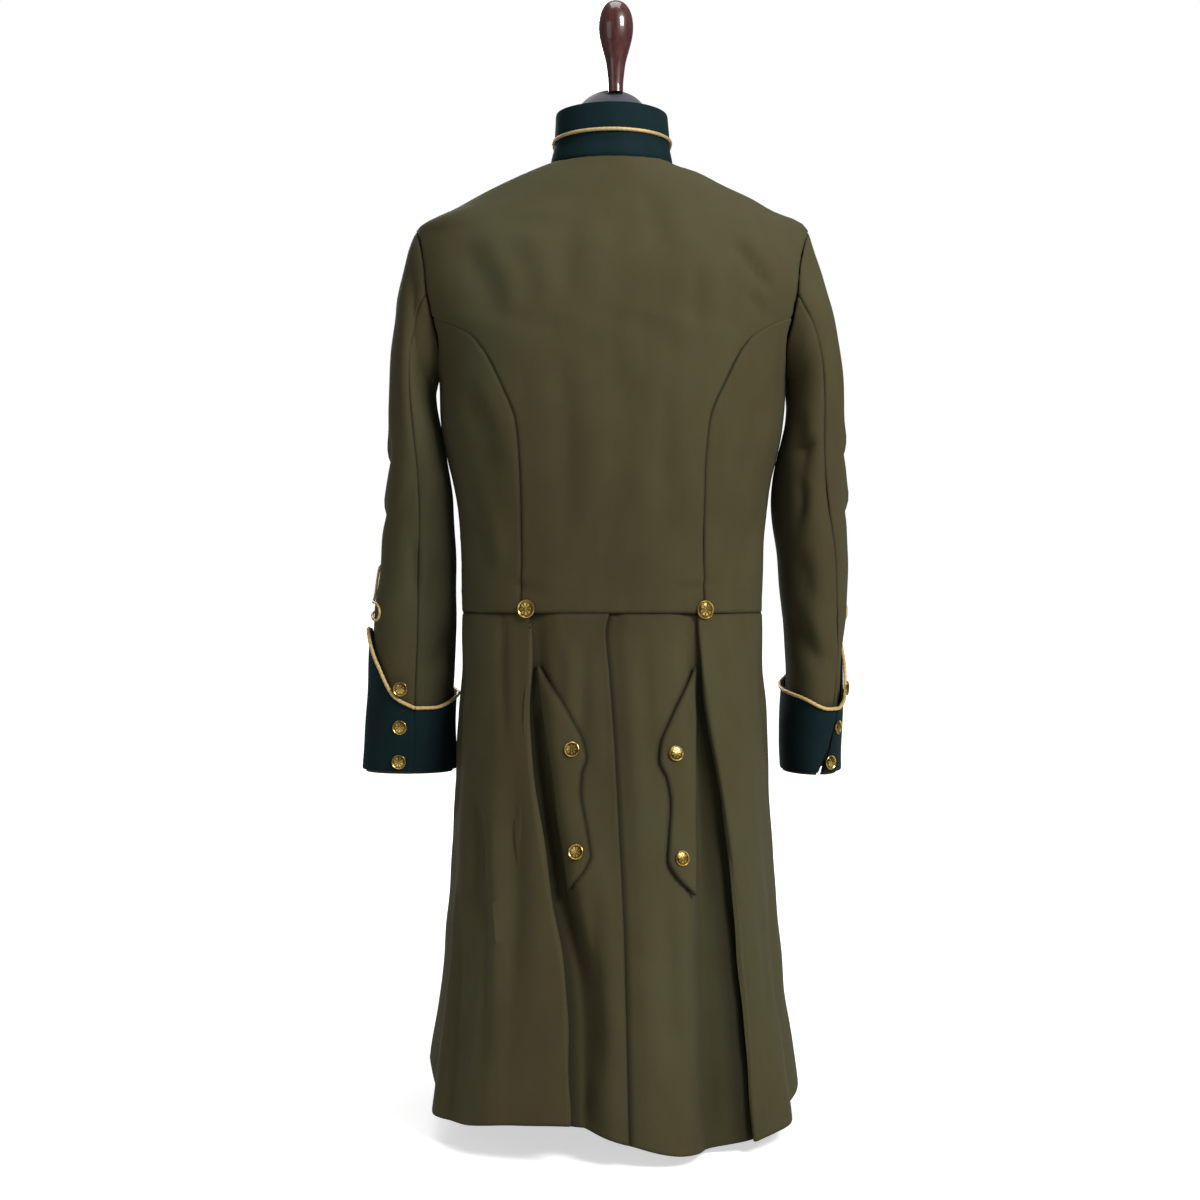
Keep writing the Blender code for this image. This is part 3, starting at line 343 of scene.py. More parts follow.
@dataclass(frozen=True)
class CoatShape:
    """The coat's body and skirt as one surface, which the panels are cut from."""
    rings: Table = COAT_RINGS
    neck_drop: float = 0.028
    armhole_bottom: float = 0.830
    armhole_reach: float = 0.060
    seam_shift: float = 0.0035
    lap_depth: float = CLOTH + 0.001
    lap_angles: tuple[float, float] = (16.0, 26.0)

    def outline(self, angle: Array, height: Array) -> tuple[Array, Array]:
        """Give x and y on the rounded oval section at a height."""
        across, along = np.sin(np.radians(angle)), np.cos(np.radians(angle))
        depth = np.where(along > 0, self.rings.read("back", height), self.rings.read("front", height))
        power = self.rings.read("roundness", height)
        wide = np.abs(across) / self.rings.read("half_width", height)
        reach = (wide ** power + (np.abs(along) / depth) ** power) ** (-1 / power)
        return reach * across, -reach * along

    def front_drop(self, angle: Array, height: Array) -> Array:
        """How far the neck falls towards the centre front."""
        turn = np.abs((np.asarray(angle) + 180.0) % 360.0 - 180.0)
        return self.neck_drop * ease(SHOULDER, NECK, height) * ease(80.0, 175.0, turn)

    def point(self, angle: Array, height: Array) -> Array:
        """Give points by angle and height."""
        angle, height = np.broadcast_arrays(np.asarray(angle, float), np.asarray(height, float))
        x, y = self.outline(angle, height)
        return np.stack((x, y, height - self.front_drop(angle, height)), axis=-1)

    def lifted(self, angle: Array, height: Array, lift: Array | float) -> Array:
        """Give points that stand off the surface by a lift."""
        angle, height = np.broadcast_arrays(np.asarray(angle, float), np.asarray(height, float))
        normal = normals_of(self.point, angle, height, (1.0, 0.002))
        return self.point(angle, height) + np.asarray(lift)[..., None] * normal

    def angle_at(self, place: Array, height: Array) -> Array:
        """Turn places across the back into angles."""
        place, height = np.broadcast_arrays(np.asarray(place, float), np.asarray(height, float))
        turn = solve(lambda angle: self.outline(angle, height)[0], 0.0, 90.0, np.abs(place))
        return np.copysign(turn, place)

    def step(self, angle: Array, height: Array, distance: Array | float) -> Array:
        """Move angles by a distance along the ring."""
        ahead = np.stack(self.outline(np.asarray(angle) + 0.5, height))
        behind = np.stack(self.outline(np.asarray(angle) - 0.5, height))
        return angle + distance / np.linalg.norm(ahead - behind, axis=0)

    def armhole(self, height: Array, front: bool) -> Array:
        """Angle of the right armhole's edge, at the back or at the front."""
        middle = (self.armhole_bottom + SHOULDER) / 2
        level = np.clip((height - middle) / (SHOULDER - middle), -1.0, 1.0)
        reach = self.armhole_reach * np.sqrt(1 - level * level)
        if front:
            return solve(lambda a: self.outline(a, height)[1], 90.0, 180.0, reach)
        return solve(lambda a: self.outline(a, height)[1], 0.0, 90.0, -reach)

    def side_edge(self, height: Array, front: bool) -> Array:
        """Angle, on the right, of the side seam, the armhole or the shoulder seam."""
        within = (height > self.armhole_bottom) & (height < SHOULDER)
        return np.where(within, self.armhole(height, front), 90.0)

    def side_back_seam(self, height: Array) -> Array:
        """Angle, on the right, of the curved seam, kept inside the armhole."""
        place = SIDE_BACK_SEAM.read("place", height) + self.seam_shift
        return np.minimum(self.angle_at(place, height), self.side_edge(height, False))

    def back_edge(self, height: Array) -> Array:
        """Angle, on the right, of the back panel's edge."""
        return np.where(height < self.seam_top(), self.side_back_seam(height),
                        self.side_edge(height, False))

    def seam_top(self) -> float:
        """Height where the curved seam runs into the armhole."""
        heights = np.linspace(self.armhole_bottom + 0.01, 0.9, 200)
        place = SIDE_BACK_SEAM.read("place", heights) + self.seam_shift
        open_width = self.side_edge(heights, False) - self.angle_at(place, heights)
        return float(heights[np.argmax(open_width < 0.3)])

    def front_lift(self, side: Side, angle: Array) -> Array:
        """Lift of the left front, which lies over the right one at the centre."""
        if side is Side.RIGHT:
            return np.zeros_like(angle)
        return self.lap_depth * (1 - ease(*self.lap_angles, angle + 180.0))

    def skirt_height(self, angle: Array | float, fall: Array) -> Array:
        """Height of a skirt point; fall goes from 0 at the waist seam to 1 at the hem."""
        hem = HEM_LINE.read("height", angle)
        return WAIST - GAP - fall * (WAIST - GAP - hem)


@dataclass(frozen=True)
class SkirtShape:
    """The skirt's pleats, folds and centre vent."""
    coat: CoatShape = field(default_factory=CoatShape)
    vent_lap: float = 0.022
    underlay: float = 0.030
    # Strength and reach of the shade painted beside the pleat, in the valleys, below the vent and under
    # its lap.
    pleat_dark: float = 0.75
    pleat_dark_width: float = 0.009
    valley_dark: float = 10.0
    vent_dark: float = 0.22
    vent_dark_width: float = 0.030
    lap_dark: float = 0.95
    lap_dark_width: float = 0.0065
    rim_lift: float = 0.0010
    rim_width: float = 0.005
    lap_clearance: float = 0.0012

    def pleat_gap(self, fall: Array) -> Array:
        """Space between the two layers of a pleat's fold."""
        return 0.0012 + 0.0028 * ease(0.0, 0.3, fall)

    def fold_lift(self, angle: Array, fall: Array) -> Array:
        """Lift of the side skirts' soft folds."""
        lift = np.zeros(np.broadcast(angle, fall).shape)
        for waist_angle, hem_angle, depth, width in SIDE_FOLDS:
            centre = waist_angle + (hem_angle - waist_angle) * fall
            lift = lift + depth * np.exp(-((angle - centre) / width) ** 2)
        return lift * ease(0.05, 0.95, fall)

    def inside_pleat(self, side: Side, place: Array, fall: Array) -> Array:
        """Distance of a place from its pleat's edge, towards the centre back."""
        level = self.coat.skirt_height(0.0, fall)
        return side.value * (PLEAT_EDGE.read(side.word, level) - place)

    def valley(self, side: Side, place: Array, fall: Array) -> Array:
        """Depth of the hollow beside the pleat's edge."""
        level = self.coat.skirt_height(0.0, fall)
        inset = VALLEYS.read(f"{side.word}_inset", level)
        apart = (self.inside_pleat(side, place, fall) - inset) / (0.6 * inset + 0.006)
        return VALLEYS.read(f"{side.word}_depth", level) * np.exp(-apart ** 2)

    def shade(self, side: Side, place: Array, fall: Array) -> Array:
        """How much shade is painted on a back skirt: in its valley, under the pleat and under the vent's
        edge.
        """
        inside = self.inside_pleat(side, place, fall)
        past = place - VENT_EDGE.read("place", self.coat.skirt_height(0.0, fall))
        beside_pleat = np.exp(-(np.maximum(inside, 0.0) / self.pleat_dark_width) ** 2)
        dark = self.pleat_dark * beside_pleat * ease(0.0, 0.12, fall)
        dark = dark + self.valley_dark * self.valley(side, place, fall)
        beside_vent = np.exp(-(past / self.vent_dark_width) ** 2)
        dark = dark + self.vent_dark * beside_vent * (1 - ease(0.25, 0.75, fall))
        if side is Side.RIGHT:
            under = np.exp(-(np.maximum(past, 0.0) / self.lap_dark_width) ** 2)
            dark = np.maximum(dark, self.lap_dark * under)
        return np.clip(dark, 0.0, 1.0)

    def back_lift(self, side: Side, place: Array, fall: Array) -> Array:
        """Lift of a back skirt: under the pleat, into its valley and over the vent."""
        level = self.coat.skirt_height(0.0, fall)
        inside = self.inside_pleat(side, place, fall)
        tuck = self.pleat_gap(fall) + 2 * CLOTH + 0.0008
        lift = -tuck * (1 - ease(0.004, 0.034, inside)) - self.valley(side, place, fall)
        past = place - VENT_EDGE.read("place", level)
        if side is Side.LEFT:
            return lift + self.rim_lift * np.exp(-(past / self.rim_width) ** 2)
        covering = self.back_lift(Side.LEFT, place, fall) - self.coat.lap_depth
        return lift + (covering - self.lap_clearance) * (1 - ease(0.004, 0.024, past))

    def back_point(self, side: Side, place: Array, fall: Array, lift: Array | float = 0.0) -> Array:
        """Give points of a back skirt by place across and fall."""
        place, fall = np.broadcast_arrays(np.asarray(place, float), np.asarray(fall, float))
        angle = self.coat.angle_at(place, self.coat.skirt_height(0.0, fall))
        height = self.coat.skirt_height(angle, fall)
        return self.coat.lifted(angle, height, lift + self.back_lift(side, place, fall))

    def fall_at(self, place: Array, height: Array) -> Array:
        """Turn heights at places on the back skirt into falls."""
        hem = HEM_LINE.read("height", self.coat.angle_at(place, height))
        return (WAIST - height) / (WAIST - hem)


@dataclass(frozen=True)
class SleeveShape:
    """One sleeve as a tube; turn 0 is its outer line, 90 its back and 180 its inner line."""
    side: Side
    coat: CoatShape = field(default_factory=CoatShape)
    front_seam: float = 265.0
    armpit_lift: float = 0.0045
    end: float = 13.0

    @property
    def table(self) -> Table:
        """The sleeve's table of sections."""
        return RIGHT_SLEEVE if self.side is Side.RIGHT else LEFT_SLEEVE

    def from_table(self, turn: Array, station: Array) -> Array:
        """Give points from the sections alone."""
        read = self.table.read
        wide, deep = np.cos(np.radians(turn)), np.sin(np.radians(turn))
        x = (read("outer", station) + read("inner", station)) / 2
        x = x + (read("outer", station) - read("inner", station)) / 2 * wide
        z = (read("outer_height", station) + read("inner_height", station)) / 2
        z = z + (read("outer_height", station) - read("inner_height", station)) / 2 * wide
        y = read("centre", station) - read("half_depth", station) * deep
        return np.stack((self.side.value * x, y, z), axis=-1)

    def at_armhole(self, turn: Array) -> Array:
        """Give the sleeve head's edge, just inside the body's armhole."""
        wave = (1 - np.cos(np.radians(turn))) / 2
        inset = self.armpit_lift * wave
        middle = (self.coat.armhole_bottom + SHOULDER) / 2
        z = middle + (SHOULDER - middle - inset) * np.cos(np.radians(turn))
        y = -(self.coat.armhole_reach - inset) * np.sin(np.radians(turn))
        rings = self.coat.rings
        depth = np.where(y < 0, rings.read("back", z), rings.read("front", z))
        power = rings.read("roundness", z)
        x = rings.read("half_width", z) * (1 - (np.abs(y) / depth) ** power) ** (1 / power)
        return np.stack((self.side.value * (x + 0.0004 + 0.002 * wave), y, z), axis=-1)

    def point(self, turn: Array, station: Array) -> Array:
        """Give points by turn and station."""
        turn, station = np.broadcast_arrays(np.asarray(turn, float), np.asarray(station, float))
        change = self.at_armhole(turn) - self.from_table(turn, np.zeros_like(station))
        return self.from_table(turn, station) + change * (1 - ease(0, 3, station))[..., None]

    def normal(self, turn: Array, station: Array) -> Array:
        """Give outward normals by turn and station."""
        turn, station = np.broadcast_arrays(np.asarray(turn, float), np.asarray(station, float))
        return self.side.value * normals_of(self.point, turn, np.clip(station, 0.1, 12.9), (2.0, 0.1))

    def lifted(self, turn: Array, station: Array, lift: Array | float) -> Array:
        """Give points that stand off the sleeve by a lift."""
        return self.point(turn, station) + np.asarray(lift)[..., None] * self.normal(turn, station)

    def station_at(self, height: Array | float) -> Array:
        """Turn heights on the level part of the sleeve into stations."""
        height = np.asarray(height, float)
        return solve(lambda s: self.table.read("outer_height", s), 8.0, self.end, height)

    def seam(self, station: Array) -> Array:
        """Turn of the back seam."""
        return self.table.read("seam", station)

    def opening(self, station: Array, extra: float = 0.0) -> Array:
        """Half the opening of the back seam, in degrees."""
        seam = self.seam(station)
        degree = np.linalg.norm(self.point(seam + 0.5, station) - self.point(seam - 0.5, station),
                                axis=-1)
        return (self.table.read("slit", station) + extra) / degree


# Creases

@dataclass(frozen=True)
class Crease:
    """A soft trough with a low ridge beside it, along a line seen from one side."""
    view: View
    line: tuple[tuple[float, float], ...]
    depth: float
    width: float

    def lift(self, points: Array, normals: Array) -> Array:
        """Give the crease's lift at each point of a surface.

        Args:
            points: The surface's points.
            normals: Its outward normals.

        Returns:
            The lift, negative in the trough.
        """
        axis, way = self.view.value
        spot = np.stack((points[..., axis], points[..., 2]), axis=-1)
        corners = np.array(self.line)
        lengths = np.linalg.norm(np.diff(corners, axis=0), axis=1)
        nearest = np.full(spot.shape[:-1], np.inf)
        signed, along, walked = np.zeros_like(nearest), np.zeros_like(nearest), 0.0
        for (start, end), length in zip(pairwise(corners), lengths):
            course = (end - start) / length
            reach = np.clip((spot - start) @ course, 0.0, length)
            apart = spot - start - reach[..., None] * course
            distance = np.linalg.norm(apart, axis=-1)
            cross = course[0] * apart[..., 1] - course[1] * apart[..., 0]
            closer = distance < nearest
            signed = np.where(closer, np.copysign(distance, cross), signed)
            along = np.where(closer, (walked + reach) / lengths.sum(), along)
            nearest = np.minimum(nearest, distance)
            walked += length
        taper = ease(0.0, 0.35, along) * ease(0.0, 0.35, 1 - along)
        trough = -np.exp(-(signed / self.width) ** 2)
        ridge = 0.45 * np.exp(-((signed - 1.7 * self.width) / (1.1 * self.width)) ** 2)
        facing = ease(0.05, 0.55, normals @ np.array(way))
        return self.depth * (trough + ridge) * taper * facing


BODY_CREASES = (
    Crease(View.BEHIND, ((0.126, 0.980), (0.150, 0.950), (0.176, 0.912)), 0.0054, 0.007),
    Crease(View.BEHIND, ((0.146, 0.918), (0.160, 0.902), (0.172, 0.884)), 0.0037, 0.006),
    Crease(View.BEHIND, ((0.090, 0.962), (0.091, 0.910), (0.088, 0.850)), 0.0027, 0.011),
    Crease(View.BEHIND, ((-0.172, 0.985), (-0.140, 0.930), (-0.118, 0.870)), 0.0044, 0.017),
    Crease(View.BEHIND, ((-0.128, 0.990), (-0.098, 0.940), (-0.086, 0.880)), 0.0031, 0.015),
    Crease(View.BEHIND, ((-0.034, 1.040), (-0.052, 0.960), (-0.050, 0.880)), 0.0024, 0.016),
    Crease(View.BEHIND, ((0.030, 1.045), (0.050, 0.985), (0.058, 0.930)), 0.0022, 0.014),
    Crease(View.BEHIND, ((-0.060, 0.880), (-0.048, 0.760), (-0.052, 0.640)), 0.0027, 0.016),
    Crease(View.BEHIND, ((0.012, 0.860), (0.006, 0.740), (0.010, 0.620)), 0.0020, 0.018),
    Crease(View.BEHIND, ((0.062, 0.840), (0.054, 0.740), (0.060, 0.640)), 0.0024, 0.014),
    Crease(View.BEHIND, ((-0.170, 0.830), (-0.140, 0.762), (-0.128, 0.700)), 0.0041, 0.013),
    Crease(View.BEHIND, ((-0.166, 0.700), (-0.146, 0.650), (-0.140, 0.596)), 0.0034, 0.011),
    Crease(View.BEHIND, ((0.172, 0.820), (0.150, 0.752), (0.142, 0.690)), 0.0041, 0.012),
    Crease(View.BEHIND, ((0.164, 0.690), (0.148, 0.640), (0.140, 0.590)), 0.0031, 0.011),
    Crease(View.BEHIND, ((-0.118, 0.604), (-0.094, 0.590), (-0.060, 0.586)), 0.0017, 0.006),
    Crease(View.BEHIND, ((0.062, 0.588), (0.096, 0.592), (0.124, 0.606)), 0.0017, 0.006),
    Crease(View.AHEAD, ((0.150, 0.950), (0.120, 0.900), (0.108, 0.850)), 0.0044, 0.012),
    Crease(View.AHEAD, ((-0.152, 0.945), (-0.126, 0.890), (-0.116, 0.830)), 0.0041, 0.013),
    Crease(View.AHEAD, ((0.130, 0.720), (0.100, 0.664), (0.090, 0.600)), 0.0034, 0.012),
    Crease(View.AHEAD, ((-0.126, 0.732), (-0.104, 0.672), (-0.096, 0.596)), 0.0037, 0.011),
    Crease(View.AHEAD, ((-0.030, 0.640), (-0.070, 0.620), (-0.120, 0.624)), 0.0024, 0.008),
    Crease(View.AHEAD, ((0.034, 0.790), (0.066, 0.770), (0.104, 0.776)), 0.0022, 0.009),
)
SKIRT_CREASES = (
    Crease(View.BEHIND, ((-0.121, 0.590), (-0.119, 0.500), (-0.116, 0.400)), 0.0030, 0.0045),
    Crease(View.BEHIND, ((-0.162, 0.440), (-0.143, 0.319), (-0.1355, 0.239), (-0.135, 0.130),
                         (-0.147, -0.02)), 0.0062, 0.0075),
    Crease(View.BEHIND, ((-0.176, 0.330), (-0.168, 0.240), (-0.166, 0.150), (-0.176, -0.03)),
           0.0052, 0.0075),
    Crease(View.BEHIND, ((0.104, 0.420), (0.125, 0.275), (0.1376, 0.203), (0.145, 0.130),
                         (0.158, -0.02)), 0.0056, 0.0075),
    Crease(View.BEHIND, ((-0.064, 0.548), (-0.058, 0.500), (-0.060, 0.430)), 0.0023, 0.009),
    Crease(View.BEHIND, ((-0.030, 0.552), (-0.034, 0.480), (-0.032, 0.380)), 0.0023, 0.010),
    Crease(View.BEHIND, ((0.034, 0.552), (0.036, 0.470), (0.040, 0.360)), 0.0025, 0.011),
    Crease(View.BEHIND, ((-0.108, 0.420), (-0.104, 0.280), (-0.106, 0.120)), 0.0042, 0.013),
    Crease(View.BEHIND, ((-0.024, 0.300), (-0.020, 0.190), (-0.016, 0.060)), 0.0049, 0.012),
    Crease(View.BEHIND, ((0.052, 0.300), (0.060, 0.190), (0.064, 0.060)), 0.0049, 0.013),
    Crease(View.BEHIND, ((0.160, 0.300), (0.166, 0.180), (0.168, 0.070)), 0.0049, 0.010),
    Crease(View.RIGHT, ((-0.040, 0.540), (-0.030, 0.440), (-0.020, 0.300)), 0.0042, 0.011),
    Crease(View.RIGHT, ((0.030, 0.520), (0.040, 0.400), (0.052, 0.260)), 0.0038, 0.012),
    Crease(View.LEFT, ((-0.030, 0.530), (-0.026, 0.420), (-0.010, 0.290)), 0.0042, 0.012),
    Crease(View.LEFT, ((0.034, 0.540), (0.044, 0.420), (0.060, 0.250)), 0.0038, 0.011),
    Crease(View.AHEAD, ((0.080, 0.540), (0.086, 0.420), (0.096, 0.250)), 0.0046, 0.012),
    Crease(View.AHEAD, ((-0.084, 0.545), (-0.090, 0.430), (-0.104, 0.240)), 0.0046, 0.012),
)
SLEEVE_CREASES = {
    Side.LEFT: (
        Crease(View.BEHIND, ((-0.229, 0.975), (-0.223, 0.925), (-0.221, 0.880), (-0.214, 0.830),
                             (-0.204, 0.765)), 0.0063, 0.008),
        Crease(View.BEHIND, ((-0.248, 0.900), (-0.246, 0.820), (-0.240, 0.740)), 0.0024, 0.010),
        Crease(View.BEHIND, ((-0.208, 0.740), (-0.224, 0.700), (-0.246, 0.684)), 0.0036, 0.010),
        Crease(View.BEHIND, ((-0.223, 0.660), (-0.222, 0.620), (-0.222, 0.570)), 0.0033, 0.006),
        Crease(View.BEHIND, ((-0.176, 0.560), (-0.192, 0.520), (-0.216, 0.490)), 0.0051, 0.010),
        Crease(View.BEHIND, ((-0.186, 0.640), (-0.200, 0.600), (-0.212, 0.545)), 0.0033, 0.011),
        Crease(View.LEFT, ((-0.040, 0.760), (-0.010, 0.730), (0.030, 0.735)), 0.0045, 0.011),
        Crease(View.LEFT, ((-0.034, 0.690), (0.000, 0.668), (0.036, 0.680)), 0.0042, 0.010),
        Crease(View.LEFT, ((-0.020, 0.920), (0.008, 0.870), (0.014, 0.800)), 0.0033, 0.013),
        Crease(View.AHEAD, ((-0.212, 0.770), (-0.232, 0.735), (-0.250, 0.728)), 0.0054, 0.009),
        Crease(View.AHEAD, ((-0.200, 0.700), (-0.226, 0.672), (-0.250, 0.668)), 0.0048, 0.009),
    ),
    Side.RIGHT: (
        Crease(View.BEHIND, ((0.208, 0.800), (0.214, 0.750), (0.212, 0.700)), 0.0042, 0.008),
        Crease(View.BEHIND, ((0.206, 0.722), (0.213, 0.700), (0.212, 0.676), (0.202, 0.650)),
               0.0054, 0.006),
        Crease(View.BEHIND, ((0.200, 0.756), (0.216, 0.748), (0.232, 0.752)), 0.0045, 0.008),
        Crease(View.BEHIND, ((0.200, 0.570), (0.216, 0.535), (0.242, 0.492)), 0.0060, 0.011),
        Crease(View.BEHIND, ((0.204, 0.640), (0.216, 0.610), (0.222, 0.570)), 0.0036, 0.010),
        Crease(View.BEHIND, ((0.246, 0.930), (0.250, 0.860), (0.252, 0.780)), 0.0021, 0.009),
        Crease(View.RIGHT, ((-0.036, 0.764), (0.000, 0.736), (0.034, 0.744)), 0.0045, 0.011),
        Crease(View.RIGHT, ((-0.040, 0.696), (-0.004, 0.674), (0.036, 0.690)), 0.0042, 0.010),
        Crease(View.RIGHT, ((0.016, 0.920), (-0.008, 0.868), (-0.012, 0.800)), 0.0033, 0.013),
        Crease(View.AHEAD, ((0.210, 0.776), (0.234, 0.742), (0.256, 0.734)), 0.0054, 0.009),
        Crease(View.AHEAD, ((0.204, 0.706), (0.230, 0.680), (0.256, 0.676)), 0.0048, 0.009),
    ),
}


# Node groups and finishes

class Wiring:
    """Adds and joins the nodes of one material or group."""

    def __init__(self, tree: bpy.types.NodeTree) -> None:
        """Keep the tree to work in."""
        self.tree = tree

    def add(self, kind: str, **settings: object) -> bpy.types.Node:
        """Add a node and set its properties.

        Args:
            kind: The node's type name without its ShaderNode prefix.
            settings: Properties to set on it.

        Returns:
            The node.
        """
        node = self.tree.nodes.new(f"ShaderNode{kind}")
        for name, value in settings.items():
            setattr(node, name, value)
        return node

    def join(self, source: object, target: bpy.types.NodeSocket) -> None:
        """Link a socket to an input, or set the input to a plain value."""
        if isinstance(source, bpy.types.NodeSocket):
            self.tree.links.new(source, target)
        else:
            target.default_value = source

    def maths(self, operation: str, *values: object) -> bpy.types.NodeSocket:
        """Work out a value from sockets and numbers."""
        node = self.add("Math", operation=operation)
        for value, target in zip(values, node.inputs):
            self.join(value, target)
        return node.outputs[0]

    def vector(self, operation: str, *values: object) -> bpy.types.NodeSocket:
        """Work out a vector from sockets and vectors."""
        node = self.add("VectorMath", operation=operation)
        for value, target in zip(values, node.inputs):
            self.join(value, target)
        return node.outputs[0]

    def noise(self, place: object, scale: float, detail: float = 3.0,
              roughness: float = 0.55) -> bpy.types.NodeSocket:
        """Give a noise's value, from 0 to 1."""
        node = self.add("TexNoise")
        self.join(place, node.inputs["Vector"])
        node.inputs["Scale"].default_value = scale
        node.inputs["Detail"].default_value = detail
        node.inputs["Roughness"].default_value = roughness
        return node.outputs["Fac"]

    def blend(self, factor: object, first: object, second: object,
              mode: str = "MIX") -> bpy.types.NodeSocket:
        """Mix two colours."""
        node = self.add("Mix", data_type="RGBA", blend_type=mode)
        self.join(factor, node.inputs["Factor"])
        for value, name in ((first, "A"), (second, "B")):
            socket = next(s for s in node.inputs if s.name == name and s.type == "RGBA")
            self.join((*value, 1.0) if isinstance(value, tuple) else value, socket)
        return next(s for s in node.outputs if s.type == "RGBA")

    def ramp(self, factor: object, stops: tuple[tuple[float, Colour], ...]) -> bpy.types.NodeSocket:
        """Turn a value into colours."""
        node = self.add("ValToRGB")
        elements = node.color_ramp.elements
        while len(elements) < len(stops):
            elements.new(0.5)
        for element, (place, colour) in zip(elements, stops):
            element.position = place
            element.color = (*colour, 1.0)
        self.join(factor, node.inputs["Fac"])
        return node.outputs["Color"]

    def group(self, tree: bpy.types.NodeTree, **values: object) -> bpy.types.Node:
        """Place a node group and feed its inputs."""
        node = self.add("Group", node_tree=tree)
        for name, value in values.items():
            self.join(value, node.inputs[name.replace("_", " ").title()])
        return node


class Groups:
    """The effects that several finishes share, each made once."""

    def __init__(self) -> None:
        """Make the groups."""
        self.twill = self.make_twill()
        self.nap = self.make_nap()
        self.mottle = self.make_mottle()

    @staticmethod
    def start(name: str, inputs: tuple[tuple[str, str], ...], outputs: tuple[str, ...]) -> tuple:
        """Start a group with named sockets.

        Args:
            name: The group's name.
            inputs: Each input's name and kind, Vector or Float.
            outputs: The names of its values.

        Returns:
            The tree, its wiring, its input node and its output node.
        """
        tree = bpy.data.node_groups.new(name, "ShaderNodeTree")
        for title, kind in inputs:
            tree.interface.new_socket(title, in_out="INPUT", socket_type=f"NodeSocket{kind}")
        for title in outputs:
            tree.interface.new_socket(title, in_out="OUTPUT", socket_type="NodeSocketFloat")
        wiring = Wiring(tree)
        source = tree.nodes.new("NodeGroupInput")
        target = tree.nodes.new("NodeGroupOutput")
        return tree, wiring, source.outputs, target.inputs

    def make_twill(self) -> bpy.types.NodeTree:
        """A fine twill: slanting ribs crossed by yarns, with slubs."""
        tree, wiring, given, result = self.start(
            "twill weave", (("Place", "Vector"), ("Pitch", "Float")), ("Height", "Tone"))
        scaled = wiring.add("VectorMath", operation="SCALE")
        wiring.join(given["Place"], scaled.inputs[0])
        wiring.join(wiring.maths("DIVIDE", 2 * math.pi, given["Pitch"]), scaled.inputs["Scale"])
        parts = wiring.add("SeparateXYZ")
        wiring.join(scaled.outputs[0], parts.inputs[0])
        slant = wiring.maths("ADD", parts.outputs[0], wiring.maths("MULTIPLY", parts.outputs[1], 0.8))
        rib = wiring.maths("SINE", slant)
        yarn = wiring.maths("SINE", wiring.maths("MULTIPLY", parts.outputs[1], 2.1))
        slub = wiring.noise(given["Place"], 900.0, 2.0)
        body = wiring.maths("ADD", wiring.maths("MULTIPLY", rib, 0.30),
                            wiring.maths("MULTIPLY", yarn, 0.14))
        height = wiring.maths("ADD", wiring.maths("MULTIPLY", slub, 0.5), body)
        wiring.join(height, result["Height"])
        wiring.join(wiring.maths("ADD", wiring.maths("MULTIPLY", body, 0.35), slub), result["Tone"])
        return tree

    def make_nap(self) -> bpy.types.NodeTree:
        """A felted nap: short fibres brushed one way."""
        tree, wiring, given, result = self.start("felted nap", (("Place", "Vector"),),
                                                 ("Height", "Tone"))
        brushed = wiring.vector("MULTIPLY", given["Place"], (1.0, 0.35, 1.0))
        fibre = wiring.noise(brushed, 1500.0, 3.0, 0.7)
        cloud = wiring.noise(given["Place"], 60.0, 4.0)
        wiring.join(fibre, result["Height"])
        wiring.join(wiring.maths("ADD", wiring.maths("MULTIPLY", fibre, 0.5),
                                 wiring.maths("MULTIPLY", cloud, 0.5)), result["Tone"])
        return tree

    def make_mottle(self) -> bpy.types.NodeTree:
        """Broad soft changes of tone, drawn out down the length."""
        tree, wiring, given, result = self.start(
            "mottle", (("Place", "Vector"), ("Scale", "Float")), ("Broad", "Fine"))
        drawn = wiring.vector("MULTIPLY", given["Place"], (1.0, 1.0, 0.42))
        broad = wiring.add("TexNoise")
        wiring.join(drawn, broad.inputs["Vector"])
        wiring.join(given["Scale"], broad.inputs["Scale"])
        broad.inputs["Detail"].default_value = 2.5
        fine = wiring.add("TexNoise")
        wiring.join(drawn, fine.inputs["Vector"])
        wiring.join(wiring.maths("MULTIPLY", given["Scale"], 9.0), fine.inputs["Scale"])
        fine.inputs["Detail"].default_value = 4.0
        wiring.join(broad.outputs["Fac"], result["Broad"])
        wiring.join(fine.outputs["Fac"], result["Fine"])
        return tree


def new_material(name: str) -> tuple[bpy.types.Material, Wiring, bpy.types.Node]:
    """Start a material.

    Args:
        name: The material's name.

    Returns:
        The material, its wiring and its Principled shader.
    """
    material = bpy.data.materials.new(name)
    material.use_nodes = True
    return material, Wiring(material.node_tree), material.node_tree.nodes["Principled BSDF"]


def add_bump(wiring: Wiring, shader: bpy.types.Node, height: bpy.types.NodeSocket, strength: float,
             distance: float) -> None:
    """Raise a surface by a height."""
    bump = wiring.add("Bump")
    bump.inputs["Strength"].default_value = strength
    bump.inputs["Distance"].default_value = distance
    wiring.join(height, bump.inputs["Height"])
    wiring.join(bump.outputs["Normal"], shader.inputs["Normal"])


